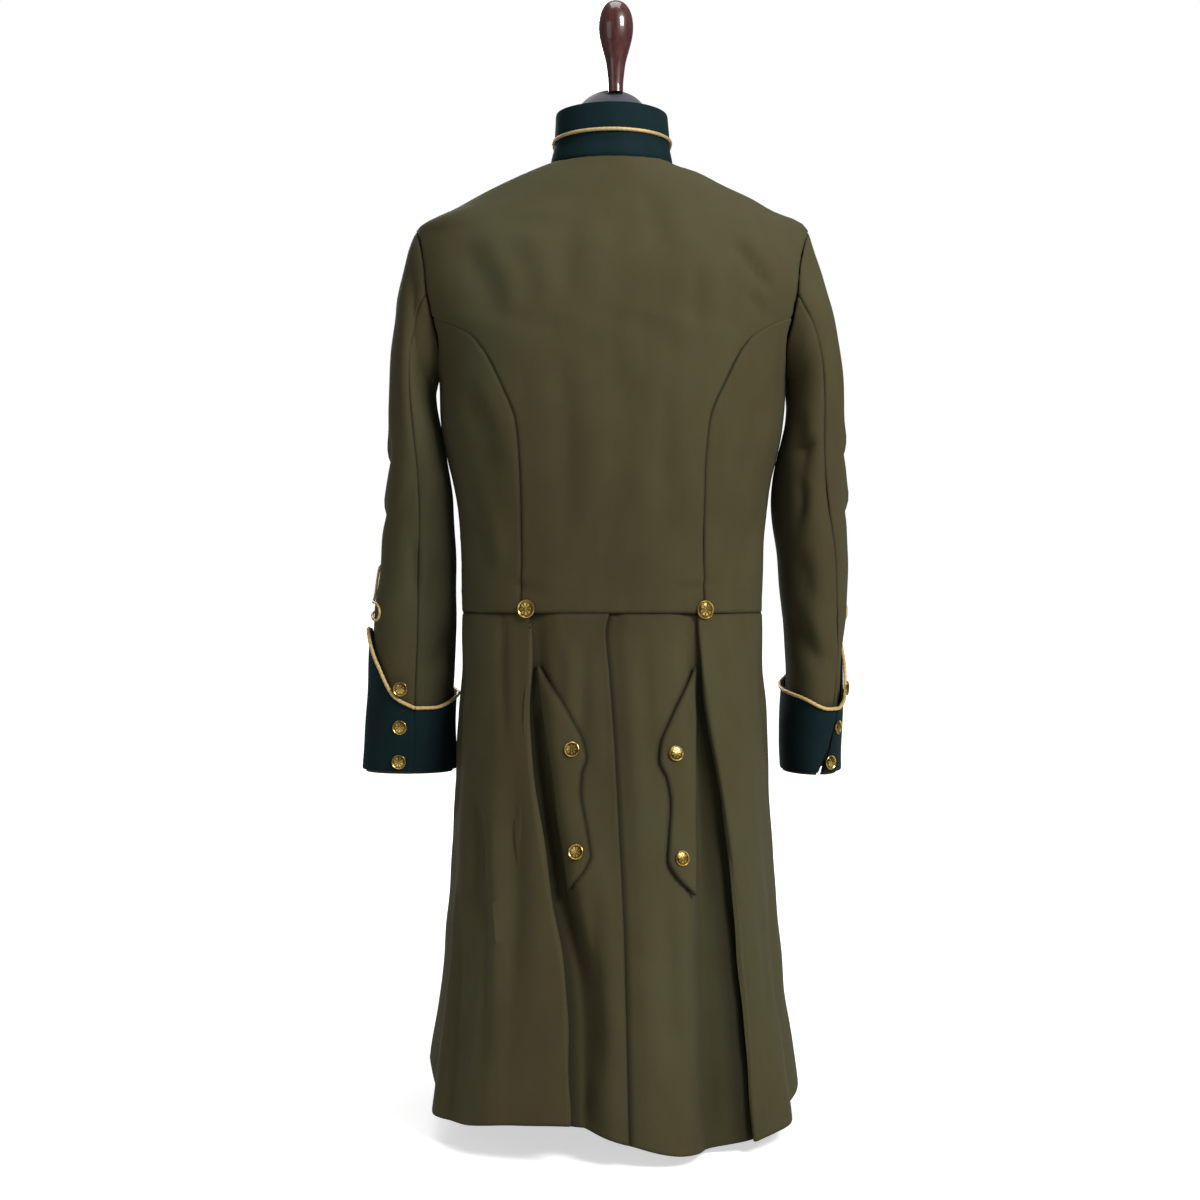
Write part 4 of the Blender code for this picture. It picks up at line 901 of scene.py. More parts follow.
@dataclass(frozen=True)
class WovenFinish:
    """A woollen cloth: twill suiting, or felted facing cloth."""
    name: str
    dark: Colour
    middle: Colour
    light: Colour
    # The colour that painted shade darkens the cloth towards.
    edge: Colour
    sheen: float
    sheen_tint: Colour
    felted: bool = False
    pitch: float = 0.0012
    mottle_scale: float = 5.0

    def build(self, groups: Groups) -> bpy.types.Material:
        """Make the cloth's material from the shared groups."""
        material, wiring, shader = new_material(self.name)
        place = wiring.add("UVMap", uv_map="cloth").outputs["UV"]
        around = wiring.add("TexCoord").outputs["Object"]
        if self.felted:
            weave = wiring.group(groups.nap, place=place)
        else:
            weave = wiring.group(groups.twill, place=place, pitch=self.pitch)
        mottle = wiring.group(groups.mottle, place=around, scale=self.mottle_scale)
        tone = wiring.maths("ADD", wiring.maths("MULTIPLY", mottle.outputs["Broad"], 0.75),
                            wiring.maths("MULTIPLY", mottle.outputs["Fine"], 0.25))
        colour = wiring.ramp(tone, ((0.34, self.dark), (0.50, self.middle), (0.68, self.light)))
        yarns = wiring.ramp(weave.outputs["Tone"], ((0.25, (0.72, 0.72, 0.72)), (0.75, (1.0, 1.0, 1.0))))
        colour = wiring.blend(0.85, colour, yarns, "MULTIPLY")
        # Painted shade: the edge attribute darkens the cloth along seams and edges, in the skirt's
        # hollows, beside the flaps and on the sleeves' inner sides.
        painted_shade_mask = wiring.add("Attribute", attribute_name="edge").outputs["Fac"]
        colour = wiring.blend(wiring.maths("MULTIPLY", painted_shade_mask, 0.85), colour, self.edge)
        wiring.join(colour, shader.inputs["Base Color"])
        rough = wiring.maths("MULTIPLY_ADD", weave.outputs["Tone"], 0.16, 0.74)
        wiring.join(rough, shader.inputs["Roughness"])
        shader.inputs["Specular IOR Level"].default_value = 0.14
        shader.inputs["Sheen Weight"].default_value = self.sheen
        shader.inputs["Sheen Roughness"].default_value = 0.45
        shader.inputs["Sheen Tint"].default_value = (*self.sheen_tint, 1.0)
        add_bump(wiring, shader, weave.outputs["Height"], 0.45, 0.00025)
        return material


@dataclass(frozen=True)
class CordFinish:
    """Satin gold thread, laid round a core."""
    name: str = "gold cord"
    shade: Colour = (0.34, 0.20, 0.05)
    shine: Colour = (0.80, 0.58, 0.24)

    def build(self, groups: Groups) -> bpy.types.Material:
        """Make the cord's material."""
        material, wiring, shader = new_material(self.name)
        place = wiring.add("UVMap", uv_map="cord").outputs["UV"]
        parts = wiring.add("SeparateXYZ")
        wiring.join(place, parts.inputs[0])
        slant = wiring.maths("ADD", wiring.maths("MULTIPLY", parts.outputs[0], 9000.0),
                             wiring.maths("MULTIPLY", parts.outputs[1], 5200.0))
        thread = wiring.maths("MULTIPLY_ADD", wiring.maths("SINE", slant), 0.5, 0.5)
        fuzz = wiring.noise(place, 1400.0, 2.0)
        mixed = wiring.maths("MULTIPLY_ADD", fuzz, 0.4, wiring.maths("MULTIPLY", thread, 0.6))
        wiring.join(wiring.ramp(mixed, ((0.12, self.shade), (0.55, self.shine))),
                    shader.inputs["Base Color"])
        shader.inputs["Metallic"].default_value = 0.25
        wiring.join(wiring.maths("MULTIPLY_ADD", fuzz, 0.2, 0.32), shader.inputs["Roughness"])
        add_bump(wiring, shader, mixed, 0.5, 0.0003)
        return material


@dataclass(frozen=True)
class MetalFinish:
    """A polished or brushed metal with tarnish in patches."""
    name: str
    bright: Colour
    tarnish: Colour
    roughness: float
    grain: float = 260.0
    recess: Colour = (0.045, 0.028, 0.010)

    def build(self, groups: Groups) -> bpy.types.Material:
        """Make the metal's material."""
        material, wiring, shader = new_material(self.name)
        around = wiring.add("TexCoord").outputs["Object"]
        mottle = wiring.group(groups.mottle, place=around, scale=self.grain)
        colour = wiring.ramp(mottle.outputs["Broad"], ((0.36, self.tarnish), (0.56, self.bright)))
        sunk = wiring.add("Attribute", attribute_name="sunk").outputs["Fac"]
        colour = wiring.blend(wiring.maths("MULTIPLY", sunk, 0.8), colour, self.recess)
        wiring.join(colour, shader.inputs["Base Color"])
        shader.inputs["Metallic"].default_value = 1.0
        rough = wiring.maths("MULTIPLY_ADD", mottle.outputs["Fine"], 0.16, self.roughness)
        wiring.join(rough, shader.inputs["Roughness"])
        add_bump(wiring, shader, mottle.outputs["Fine"], 0.12, 0.0002)
        return material


@dataclass(frozen=True)
class LacquerFinish:
    """Stained hardwood under a thick clear lacquer."""
    name: str = "lacquered wood"
    dark: Colour = (0.030, 0.008, 0.008)
    light: Colour = (0.120, 0.028, 0.022)

    def build(self, groups: Groups) -> bpy.types.Material:
        """Make the wood's material."""
        material, wiring, shader = new_material(self.name)
        around = wiring.add("TexCoord").outputs["Object"]
        drawn = wiring.vector("MULTIPLY", around, (9.0, 9.0, 1.0))
        grain = wiring.noise(drawn, 26.0, 5.0, 0.6)
        streak = wiring.noise(drawn, 90.0, 3.0)
        tone = wiring.maths("MULTIPLY_ADD", streak, 0.35, wiring.maths("MULTIPLY", grain, 0.65))
        wiring.join(wiring.ramp(tone, ((0.35, self.dark), (0.65, self.light))),
                    shader.inputs["Base Color"])
        wiring.join(wiring.maths("MULTIPLY_ADD", grain, 0.1, 0.28), shader.inputs["Roughness"])
        shader.inputs["Coat Weight"].default_value = 1.0
        shader.inputs["Coat Roughness"].default_value = 0.06
        add_bump(wiring, shader, streak, 0.06, 0.0003)
        return material


@dataclass(frozen=True)
class CoverFinish:
    """A knitted cover stretched over padding."""
    name: str
    dark: Colour
    light: Colour
    stitch: float = 900.0

    def build(self, groups: Groups) -> bpy.types.Material:
        """Make the cover's material."""
        material, wiring, shader = new_material(self.name)
        around = wiring.add("TexCoord").outputs["Object"]
        mottle = wiring.group(groups.mottle, place=around, scale=16.0)
        parts = wiring.add("SeparateXYZ")
        wiring.join(around, parts.inputs[0])
        wale = wiring.maths("SINE", wiring.maths("MULTIPLY", parts.outputs[0], 4 * self.stitch))
        course = wiring.maths("SINE", wiring.maths("MULTIPLY", parts.outputs[2], 3 * self.stitch))
        knit = wiring.maths("MULTIPLY_ADD", wiring.maths("MULTIPLY", wale, course), 0.5, 0.5)
        tone = wiring.maths("MULTIPLY_ADD", knit, 0.15, mottle.outputs["Broad"])
        wiring.join(wiring.ramp(tone, ((0.35, self.dark), (0.75, self.light))),
                    shader.inputs["Base Color"])
        shader.inputs["Sheen Weight"].default_value = 0.4
        wiring.join(wiring.maths("MULTIPLY_ADD", knit, 0.1, 0.8), shader.inputs["Roughness"])
        add_bump(wiring, shader, knit, 0.3, 0.0003)
        return material


# Each edge colour is the colour of the cloth's painted shade.
SUITING = WovenFinish("wool suiting", dark=(0.068, 0.054, 0.024), middle=(0.078, 0.067, 0.029),
                      light=(0.082, 0.079, 0.038), edge=(0.006, 0.005, 0.003), sheen=0.06,
                      sheen_tint=(0.62, 0.68, 0.52))
FACING = WovenFinish("facing cloth", dark=(0.002, 0.010, 0.012), middle=(0.003, 0.015, 0.018),
                     light=(0.005, 0.023, 0.027), edge=(0.001, 0.004, 0.005), sheen=0.06,
                     sheen_tint=(0.25, 0.60, 0.58), felted=True)
BRASS = MetalFinish("brass", bright=(0.80, 0.56, 0.16), tarnish=(0.50, 0.31, 0.07), roughness=0.20)
STEEL = MetalFinish("stand steel", bright=(0.34, 0.34, 0.36), tarnish=(0.20, 0.20, 0.22),
                    roughness=0.30, grain=40.0)
CAP_COVER = CoverFinish("cap cover", dark=(0.034, 0.035, 0.052), light=(0.066, 0.067, 0.092))
FORM_COVER = CoverFinish("form cover", dark=(0.52, 0.48, 0.40), light=(0.68, 0.64, 0.56))


class Wardrobe:
    """Every finish's material, by the record's slot."""

    def __init__(self) -> None:
        """Build each material once."""
        groups = Groups()
        finishes = {"suiting": SUITING, "facing_cloth": FACING, "gold_cord": CordFinish(),
                    "brass_button": BRASS, "form_cover": FORM_COVER, "cap_cover": CAP_COVER,
                    "lacquered_wood": LacquerFinish(), "stand_metal": STEEL}
        self.materials = {slot: finish.build(groups) for slot, finish in finishes.items()}

    def dress(self, piece: bpy.types.Object, slot: str, *nodes: str) -> None:
        """Give a piece its finish, put it on the body and let it stand for CAD nodes."""
        piece.data.materials.clear()
        piece.data.materials.append(self.materials[slot])
        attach(piece, "root")
        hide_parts(*nodes)
        log.info("%s: %d faces", piece.name, len(piece.data.polygons))


def new_piece(name: str, points: Array, faces: list[list[int]], chart: str,
              flat: Array) -> bpy.types.Object:
    """Make a piece from points and faces, with a map of where each point lies when flat.

    Args:
        name: The piece's name.
        points: Its points.
        faces: Its faces' corners.
        chart: The map's name.
        flat: Each point's place on the map.

    Returns:
        The piece, in the scene.
    """
    mesh = bpy.data.meshes.new(name)
    mesh.from_pydata(points.reshape(-1, 3).tolist(), [], faces)
    loops = np.empty(len(mesh.loops), dtype=np.int32)
    mesh.loops.foreach_get("vertex_index", loops)
    layer = mesh.uv_layers.new(name=chart)
    layer.uv.foreach_set("vector", flat.reshape(-1, 2)[loops].astype(np.float32).ravel())
    piece = bpy.data.objects.new(name, mesh)
    bpy.context.scene.collection.objects.link(piece)
    return piece


# Sewing

@dataclass(frozen=True)
class Edges:
    """Which edges of a panel are sewn; the others are free and turned in."""
    left: bool = False
    right: bool = False
    bottom: bool = False
    top: bool = False


@dataclass(frozen=True)
class Tailor:
    """Makes panels of cloth from grids of points."""
    wardrobe: Wardrobe
    seam_depth: float = 0.0013
    seam_width: float = 0.0024
    turn_depth: float = 0.0006
    turn_width: float = 0.0014
    pucker: float = 0.00022
    wander: float = 0.0005

    def sew(self, node: str, grid: Array, edges: Edges, slot: str = "suiting",
            creases: tuple[Crease, ...] = (), hold: Hold = Hold.DRAPED,
            rests_on: tuple[str, ...] = ("form_torso",), shade: Array | float = 0.0,
            rim: tuple[float, float] = (0.5, 0.0016)) -> bpy.types.Object:
        """Args:
            node: The CAD node that it stands for.
            grid: Points of its inner face, rows upwards and columns to the right from outside.
            edges: Which of its edges are sewn.
            slot: Its finish.
            creases: The creases that cross it.
            hold: How it is held; not used.
            rests_on: What it lies on; not used.
            shade: How much shade is painted on its points, from 0 to 1.
            rim: How dark the shade painted along its free edges is, and how far in that reaches.

        Returns:
            The finished panel.
        """
        out = unit(np.cross(np.gradient(grid, axis=1), np.gradient(grid, axis=0)))
        across = self.walk(grid, 1)
        up = self.walk(grid, 0)
        lift = sum((crease.lift(grid, out) for crease in creases), np.zeros(grid.shape[:2]))
        lift = lift + self.unevenness(node, across, up)
        distances = {"left": across, "right": across[:, -1:] - across, "bottom": up,
                     "top": up[-1:] - up}
        # Painted shade, which the cloth's material reads from the edge attribute.
        painted_shade = shade + np.zeros(grid.shape[:2])
        for name, distance in distances.items():
            along = up if name in ("left", "right") else across
            sewn = getattr(edges, name)
            depth, width = ((self.seam_depth, self.seam_width) if sewn
                            else (self.turn_depth, self.turn_width))
            lift = lift - depth * np.exp(-(distance / width) ** 2)
            if sewn:
                ripple = np.sin(along * 310.0) + np.sin(along * 513.0 + 1.3)
                lift = lift + self.pucker * ripple * np.exp(-distance / 0.007)
            # Painted shade: full along sewn seams, lighter along free edges, where shade falls in the
            # turn of the cloth.
            dark, far = (1.0, 0.0018) if sewn else rim
            painted_shade = np.maximum(painted_shade, dark * np.exp(-(distance / far) ** 2))
        points = grid + lift[..., None] * out
        piece = self.mesh(f"{node}_cloth", points, across, up, painted_shade)
        self.wall(piece)
        self.wardrobe.dress(piece, slot, node)
        return piece

    @staticmethod
    def walk(grid: Array, axis: int) -> Array:
        """Give the distance walked along the grid's rows or columns."""
        steps = np.linalg.norm(np.diff(grid, axis=axis), axis=-1)
        pad = [(0, 0), (0, 0)]
        pad[axis] = (1, 0)
        return np.cumsum(np.pad(steps, pad), axis=axis)

    @staticmethod
    def area_of(grid: Array) -> float:
        """Give the grid's area."""
        one, two = grid[1:, 1:] - grid[:-1, :-1], grid[1:, :-1] - grid[:-1, 1:]
        return float(np.linalg.norm(np.cross(one, two), axis=-1).sum() / 2)

    def unevenness(self, node: str, across: Array, up: Array) -> Array:
        """Give small broad waves, different on each panel."""
        phase = sum(map(ord, node)) * 0.7
        waves = (np.sin(across * 61.0 + up * 23.0 + phase)
                 + np.sin(across * 34.0 - up * 47.0 + 2 * phase)
                 + 0.6 * np.sin(up * 88.0 + across * 18.0 + 3 * phase))
        return self.wander * waves

    @staticmethod
    def mesh(name: str, points: Array, across: Array, up: Array, painted_shade: Array) -> bpy.types.Object:
        """Make the panel's mesh with its map in metres and its painted shade."""
        rows, columns = points.shape[:2]
        corner = np.arange(rows * columns).reshape(rows, columns)
        quads = np.stack((corner[:-1, :-1], corner[:-1, 1:], corner[1:, 1:], corner[1:, :-1]), axis=-1)
        centred = across - across[:, columns // 2][:, None]
        flat = np.stack((centred, np.broadcast_to(up[:, columns // 2][:, None], up.shape)), axis=-1)
        piece = new_piece(name, points, quads.reshape(-1, 4).tolist(), "cloth", flat)
        shade = piece.data.attributes.new("edge", "FLOAT", "POINT")
        shade.data.foreach_set("value", painted_shade.astype(np.float32).ravel())
        return piece

    @staticmethod
    def wall(piece: bpy.types.Object) -> None:
        """Give a panel its thickness, outwards from the inner face."""
        bpy.ops.object.select_all(action="DESELECT")
        piece.select_set(True)
        bpy.context.view_layer.objects.active = piece
        wall = piece.modifiers.new("wall", "SOLIDIFY")
        wall.thickness = CLOTH
        wall.offset = 1.0
        bpy.ops.object.modifier_apply(modifier=wall.name)
        piece.data.shade_smooth()
        piece.data.set_sharp_from_angle(angle=math.radians(48.0))


@dataclass(frozen=True)
class Body:
    """The back, the side backs and the fronts."""
    tailor: Tailor
    coat: CoatShape = field(default_factory=CoatShape)
    spacing: float = 0.0048
    front_lap: float = 0.018

    def heights(self, top: float) -> Array:
        """Give a panel's rows, from the waist seam up."""
        return WAIST + GAP + (top - WAIST - GAP) * spread(top - WAIST, self.spacing)

    def panel(self, heights: Array, start: Array, end: Array, width: float) -> tuple[Array, Array]:
        """Give the angles and heights of a grid between two edges.

        Args:
            heights: The rows' heights.
            start: The first edge's angle at each height.
            end: The last edge's angle.
            width: The panel's rough width.

        Returns:
            The angles and heights, each rows by columns.
        """
        start = self.coat.step(start, heights, GAP)
        end = self.coat.step(end, heights, -GAP)
        share = spread(width, self.spacing)
        return start[:, None] + (end - start)[:, None] * share, heights[:, None] + 0 * share

    def build(self) -> None:
        """Make all the body's panels."""
        heights = self.heights(NECK)
        edge = self.coat.back_edge(heights)
        angles, levels = self.panel(heights, -edge, edge, 0.36)
        self.tailor.sew("back", self.coat.point(angles, levels), Edges(True, True, True, True),
                        creases=BODY_CREASES)
        for side in Side:
            self.side_back(side)
            self.front(side)

    def side_back(self, side: Side) -> None:
        """Make a side back, from the curved seam round to the side seam."""
        heights = self.heights(self.coat.seam_top())
        inner, outer = self.coat.side_back_seam(heights), self.coat.side_edge(heights, False)
        start, end = (inner, outer) if side is Side.RIGHT else (-outer, -inner)
        angles, levels = self.panel(heights, start, end, 0.11)
        self.tailor.sew(f"side_back_{side.word}", self.coat.point(angles, levels),
                        Edges(True, True, True, True), creases=BODY_CREASES)

    def front(self, side: Side) -> None:
        """Make a front, from the side seam past the centre."""
        heights = self.heights(NECK)
        turn = side.value
        outer = turn * self.coat.side_edge(heights, True)
        middle = self.coat.step(np.full_like(heights, turn * 180.0), heights, turn * self.front_lap)
        start, end = (outer, middle) if turn > 0 else (middle, outer)
        angles, levels = self.panel(heights, start, end, 0.27)
        grid = self.coat.lifted(angles, levels, self.coat.front_lift(side, angles))
        sewn = Edges(turn > 0, turn < 0, True, True)
        self.tailor.sew(f"front_{side.word}", grid, sewn, creases=BODY_CREASES)


@dataclass(frozen=True)
class Skirt:
    """The four skirt panels and the two pocket flaps."""
    tailor: Tailor
    shape: SkirtShape = field(default_factory=SkirtShape)
    spacing: float = 0.0052
    flap_lift: float = CLOTH + 0.0036
    flap_dip: float = 0.0022
    flap_dip_width: float = 0.004
    flap_bridge: float = 0.55
    # Strength and reach of the shadow painted beside each flap's scalloped edge.
    flap_dark: float = 0.9
    flap_dark_width: float = 0.0032
    front_lap: float = 0.018

    @property
    def falls(self) -> Array:
        """The rows, from the hem up to the waist seam."""
        return 1.0 - spread(0.53, self.spacing)

    def build(self) -> None:
        """Make the skirt."""
        for side in Side:
            self.back(side)
            self.front(side)
            self.flap(side)

    def front(self, side: Side) -> None:
        """Make a skirt front, from its pleat's hidden return round to the front edge."""
        coat, turn, fall = self.shape.coat, side.value, self.falls[:, None]
        level = coat.skirt_height(0.0, fall)
        pleat = coat.angle_at(PLEAT_EDGE.read(side.word, level), level)
        gap = self.shape.pleat_gap(fall)
        bends = np.radians(np.linspace(-90.0, 80.0, 9))
        hidden = np.linspace(self.shape.underlay, 0.004, 8)[:-1]
        back = np.hstack((hidden + 0 * fall, gap / 2 * (1 - np.cos(bends)) + 0 * fall))
        lift = np.hstack((-gap + 0 * hidden, gap / 2 * (np.sin(bends) - 1)))
        start = coat.step(pleat, level, turn * (gap / 2 + 0.0006))
        end = coat.step(np.full_like(level, turn * 180.0), level, turn * self.front_lap)
        share = np.linspace(0.0, 1.0, 74)
        main = start + (end - start) * share
        soft = ease(0.0, 12.0, np.abs(main - pleat)) * self.shape.fold_lift(main, fall)
        angle = np.hstack((coat.step(pleat, level, turn * back), main))
        lift = np.hstack((lift, soft + coat.front_lift(side, main)))
        height = coat.skirt_height(angle, fall)
        grid = coat.lifted(angle, height, lift)
        if side is Side.LEFT:
            grid = grid[:, ::-1]
        self.tailor.sew(f"skirt_front_{side.word}", grid, Edges(top=True), creases=SKIRT_CREASES,
                        hold=Hold.HUNG)

    def back(self, side: Side) -> None:
        """Make a back skirt, from the centre vent to under the side pleat."""
        fall = self.falls[:, None]
        level = self.shape.coat.skirt_height(0.0, fall)
        vent = VENT_EDGE.read("place", level)
        inner = vent if side is Side.LEFT else vent - self.shape.vent_lap
        outer = PLEAT_EDGE.read(side.word, level) + side.value * (self.shape.underlay - 0.002)
        share = spread(0.15, 0.0036)
        place = inner + (outer - inner) * share
        if side is Side.LEFT:
            place = place[:, ::-1]
        grid = self.shape.back_point(side, place, fall)
        # Painted shade, and painted shadow beside the flap.
        shade = self.shape.shade(side, place, fall + 0 * place)
        shade = np.maximum(shade, self.flap_shadow(side, place, grid[..., 2]))
        self.tailor.sew(f"skirt_back_{side.word}", grid, Edges(top=True), creases=SKIRT_CREASES,
                        hold=Hold.HUNG, shade=shade)

    def flap_shadow(self, side: Side, place: Array, height: Array) -> Array:
        """How much shadow is painted on the back skirt beside its flap's scalloped edge."""
        line = FLAP_LINES[side]
        part = (height - line.top_height) / (line.tip_height - line.top_height)
        width = FLAP_OUTLINE.read("width", np.clip(part, 0.0, 1.0) * FLAP_LENGTH)
        edge = line.at(part)[0] - side.value * width
        dark = self.flap_dark * np.exp(-((place - edge) / self.flap_dark_width) ** 2)
        return dark * ease(-0.01, 0.02, part) * ease(-0.01, 0.01, 1 - part)

    def flap(self, side: Side) -> None:
        """Make a pocket flap: a long pointed panel with one scalloped edge."""
        down = 0.239 - 0.238 * spread(FLAP_LENGTH, 0.003)[:, None]
        long_edge, height = FLAP_LINES[side].at(down / FLAP_LENGTH)
        share = spread(0.034, 0.003)
        width = FLAP_OUTLINE.read("width", down)
        inward = width * (1 - share) if side is Side.RIGHT else width * share
        place = long_edge - side.value * inward
        ends = np.minimum(down, FLAP_LENGTH - down)
        rim = np.minimum(np.minimum(share, 1 - share) * width, ends)
        fall = self.shape.fall_at(place, height)
        lift = self.flap_lift - self.flap_dip * np.exp(-rim / self.flap_dip_width)
        lift = lift + self.flap_bridge * self.shape.valley(side, place, fall)
        grid = self.shape.back_point(side, place, fall, lift)
        # The flap's free edges get a full, wider painted shade, for the shadow of its thickness.
        self.tailor.sew(f"pocket_flap_{side.word}", grid, Edges(), hold=Hold.LAID,
                        rests_on=(f"skirt_back_{side.word}",), rim=(1.0, 0.0024))


@dataclass(frozen=True)
class Sleeve:
    """One two-piece sleeve with its cuff."""
    tailor: Tailor
    shape: SleeveShape
    cuff_bottom: float = 0.385
    cuff_lift: float = CLOTH + 0.0022
    seam_gap: float = 0.06
    # Strength, reach across and heights of the shade painted on the sleeve's inner side.
    inner_dark: float = 0.62
    inner_reach: tuple[float, float] = (0.196, 0.238)
    inner_heights: tuple[float, float] = (0.70, 0.84)

    @property
    def stations(self) -> Array:
        """The rows' stations, from the cuff up to the armhole."""
        ends = self.shape.end * spread(0.62, 0.0052)
        return ends[::-1][:, None]

    def build(self) -> None:
        """Make the sleeve's panels and cuff."""
        shape, station = self.shape, self.stations
        seam, opening = shape.seam(station), shape.opening(station)
        limits = {"upper": (shape.front_seam - 360.0 + self.seam_gap, seam - opening),
                  "under": (seam + opening, shape.front_seam - self.seam_gap)}
        for part, (start, end) in limits.items():
            turn = start + (end - start) * spread(0.2, 0.0048)
            self.panel(f"{part}_sleeve_{shape.side.word}", shape.point(turn, station),
                       Edges(True, True, False, True), "suiting", SLEEVE_CREASES[shape.side])
        grid = self.cuff_grid(spread(0.3, 0.0036), spread(0.09, 0.004), self.cuff_lift)
        self.panel(f"cuff_{shape.side.word}", grid, Edges(), "facing_cloth", ())

    def panel(self, node: str, grid: Array, edges: Edges, slot: str,
              creases: tuple[Crease, ...]) -> None:
        """Sew one panel of the sleeve, turned so that its columns run the right way."""
        if self.runs_backwards(grid):
            grid = grid[:, ::-1]
        self.tailor.sew(node, grid, edges, slot, creases, Hold.HUNG, (), self.shade(grid))

    def shade(self, grid: Array) -> Array:
        """How much shade is painted on the sleeve where its lower part turns in beside the body."""
        inward = 1 - ease(*self.inner_reach, self.shape.side.value * grid[..., 0])
        return self.inner_dark * inward * (1 - ease(*self.inner_heights, grid[..., 2]))

    def runs_backwards(self, grid: Array) -> bool:
        """Say whether a grid's faces look into the sleeve."""
        row, column = grid.shape[0] // 2, grid.shape[1] // 2
        over = grid[row, column + 1] - grid[row, column - 1]
        up = grid[row + 1, column] - grid[row - 1, column]
        centre = grid[row].mean(axis=0)
        whole = self.shape.point(np.arange(0.0, 360.0, 30.0), self.shape.station_at(centre[2]))
        axis = whole.mean(axis=0)
        return float(np.cross(over, up)[:2] @ (grid[row, column] - axis)[:2]) < 0

    def cuff_grid(self, share: Array, rise: Array, lift: float) -> Array:
        """Give the cuff's points, from its bottom edge up to its pointed top edge."""
        turn = 360.0 * share[None, :]
        top = CUFF_EDGE.read("height", 360.0 - turn)
        height = self.cuff_bottom + (top - self.cuff_bottom) * rise[:, None]
        station = self.shape.station_at(height)
        opening = self.shape.opening(station, 0.0002)
        around = self.shape.seam(station) + opening + (360.0 - 2 * opening) * turn / 360.0
        return self.shape.lifted(around, station, lift)

    def cuff_rim(self, lift: float) -> Array:
        """Give the route along the cuff's top edge."""
        return self.cuff_grid(np.linspace(0.0, 1.0, 241), np.array([1.0]), lift)[0]


@dataclass(frozen=True)
class Collar:
    """The stand collar."""
    tailor: Tailor
    coat: CoatShape = field(default_factory=CoatShape)
    rise: float = 0.062
    inset: float = CLOTH + 0.0004
    opening: float = 1.2
    piping_share: float = 0.5

    def point(self, angle: Array, share: Array) -> Array:
        """Give points by angle and by share of the collar's height."""
        angle, share = np.broadcast_arrays(np.asarray(angle, float), np.asarray(share, float))
        lean = self.inset + 0.0052 * ease(0.0, 0.5, share) + 0.0013 * ease(0.5, 1.0, share)
        across, along = np.sin(np.radians(angle)), np.cos(np.radians(angle))
        wide = self.coat.rings.read("half_width", NECK) - lean
        deep = self.coat.rings.read("back", NECK) - lean
        reach = ((across / wide) ** 2 + (along / deep) ** 2) ** -0.5
        height = NECK + self.rise * share - self.coat.front_drop(angle, np.full_like(angle, NECK))
        return np.stack((reach * across, -reach * along, height), axis=-1)

    def route(self, lift: float) -> Array:
        """Give the piping's route round the collar."""
        angle = np.linspace(-180.0 + self.opening, 180.0 - self.opening, 361)
        share = np.full_like(angle, self.piping_share)
        return self.point(angle, share) + lift * normals_of(self.point, angle, share, (1.0, 0.02))

    def build(self) -> None:
        """Make the collar."""
        angle = -180.0 + self.opening + (360.0 - 2 * self.opening) * spread(0.42, 0.0042)
        grid = self.point(angle[None, :], spread(self.rise, 0.004)[:, None])
        self.tailor.sew("collar", grid, Edges(bottom=True), "facing_cloth", rests_on=("back",))


# Cords

@dataclass(frozen=True)
class CordMaker:
    """Makes twisted gold cords along routes."""
    wardrobe: Wardrobe
    sides: int = 12
    spacing: float = 0.0009
    lay: float = 0.0058

    def lay_cord(self, node: str, route: Array, radius: float, closed: bool = False) -> None:
        """Make one cord of two twisted plies.

        Args:
            node: The CAD node that it stands for.
            route: The points that its middle follows.
            radius: Its radius.
            closed: Whether it joins up with itself.
        """
        centre = self.resample(np.vstack((route, route[:1])) if closed else route)
        if closed:
            centre = centre[:-1]
        ahead = unit(np.gradient(centre, axis=0) if not closed
                     else np.roll(centre, -1, 0) - np.roll(centre, 1, 0))
        side = np.empty_like(centre)
        side[0] = unit(np.cross(ahead[0], (0.3, 0.1, 1.0)))
        for step in range(1, len(centre)):
            side[step] = unit(side[step - 1] - (side[step - 1] @ ahead[step]) * ahead[step])
        above = np.cross(ahead, side)
        around = np.linspace(0.0, 2 * math.pi, self.sides, endpoint=False)
        distance = np.arange(len(centre)) * self.spacing
        twist = math.pi * distance[:, None] / self.lay
        reach = radius * (0.84 + 0.16 * np.abs(np.cos(around - twist)))
        points = (centre[:, None] + (reach * np.cos(around))[..., None] * side[:, None]
                  + (reach * np.sin(around))[..., None] * above[:, None])
        self.finish(node, points, distance, around * radius, closed)

    def resample(self, route: Array) -> Array:
        """Space a route's points evenly."""
        walked = np.concatenate(([0.0], np.cumsum(np.linalg.norm(np.diff(route, axis=0), axis=1))))
        even = np.linspace(0.0, walked[-1], max(4, round(walked[-1] / self.spacing)))
        return np.stack([np.interp(even, walked, route[:, axis]) for axis in range(3)], axis=-1)

    def finish(self, node: str, points: Array, distance: Array, around: Array, closed: bool) -> None:
        """Make the cord's mesh and its map, and dress it."""
        count, sides = points.shape[:2]
        corner = np.arange(count * sides).reshape(count, sides)
        rings = corner if not closed else np.vstack((corner, corner[:1]))
        lower, upper = rings[:-1], rings[1:]
        quads = np.stack((lower, np.roll(lower, -1, 1), np.roll(upper, -1, 1), upper), axis=-1)
        faces = quads.reshape(-1, 4).tolist()
        if not closed:
            faces += [corner[0, ::-1].tolist(), corner[-1].tolist()]
        flat = np.stack(np.broadcast_arrays(around[None, :], distance[:, None]), axis=-1)
        piece = new_piece(f"{node}_cord", points, faces, "cord", flat)
        piece.data.shade_smooth()
        self.wardrobe.dress(piece, "gold_cord", node)


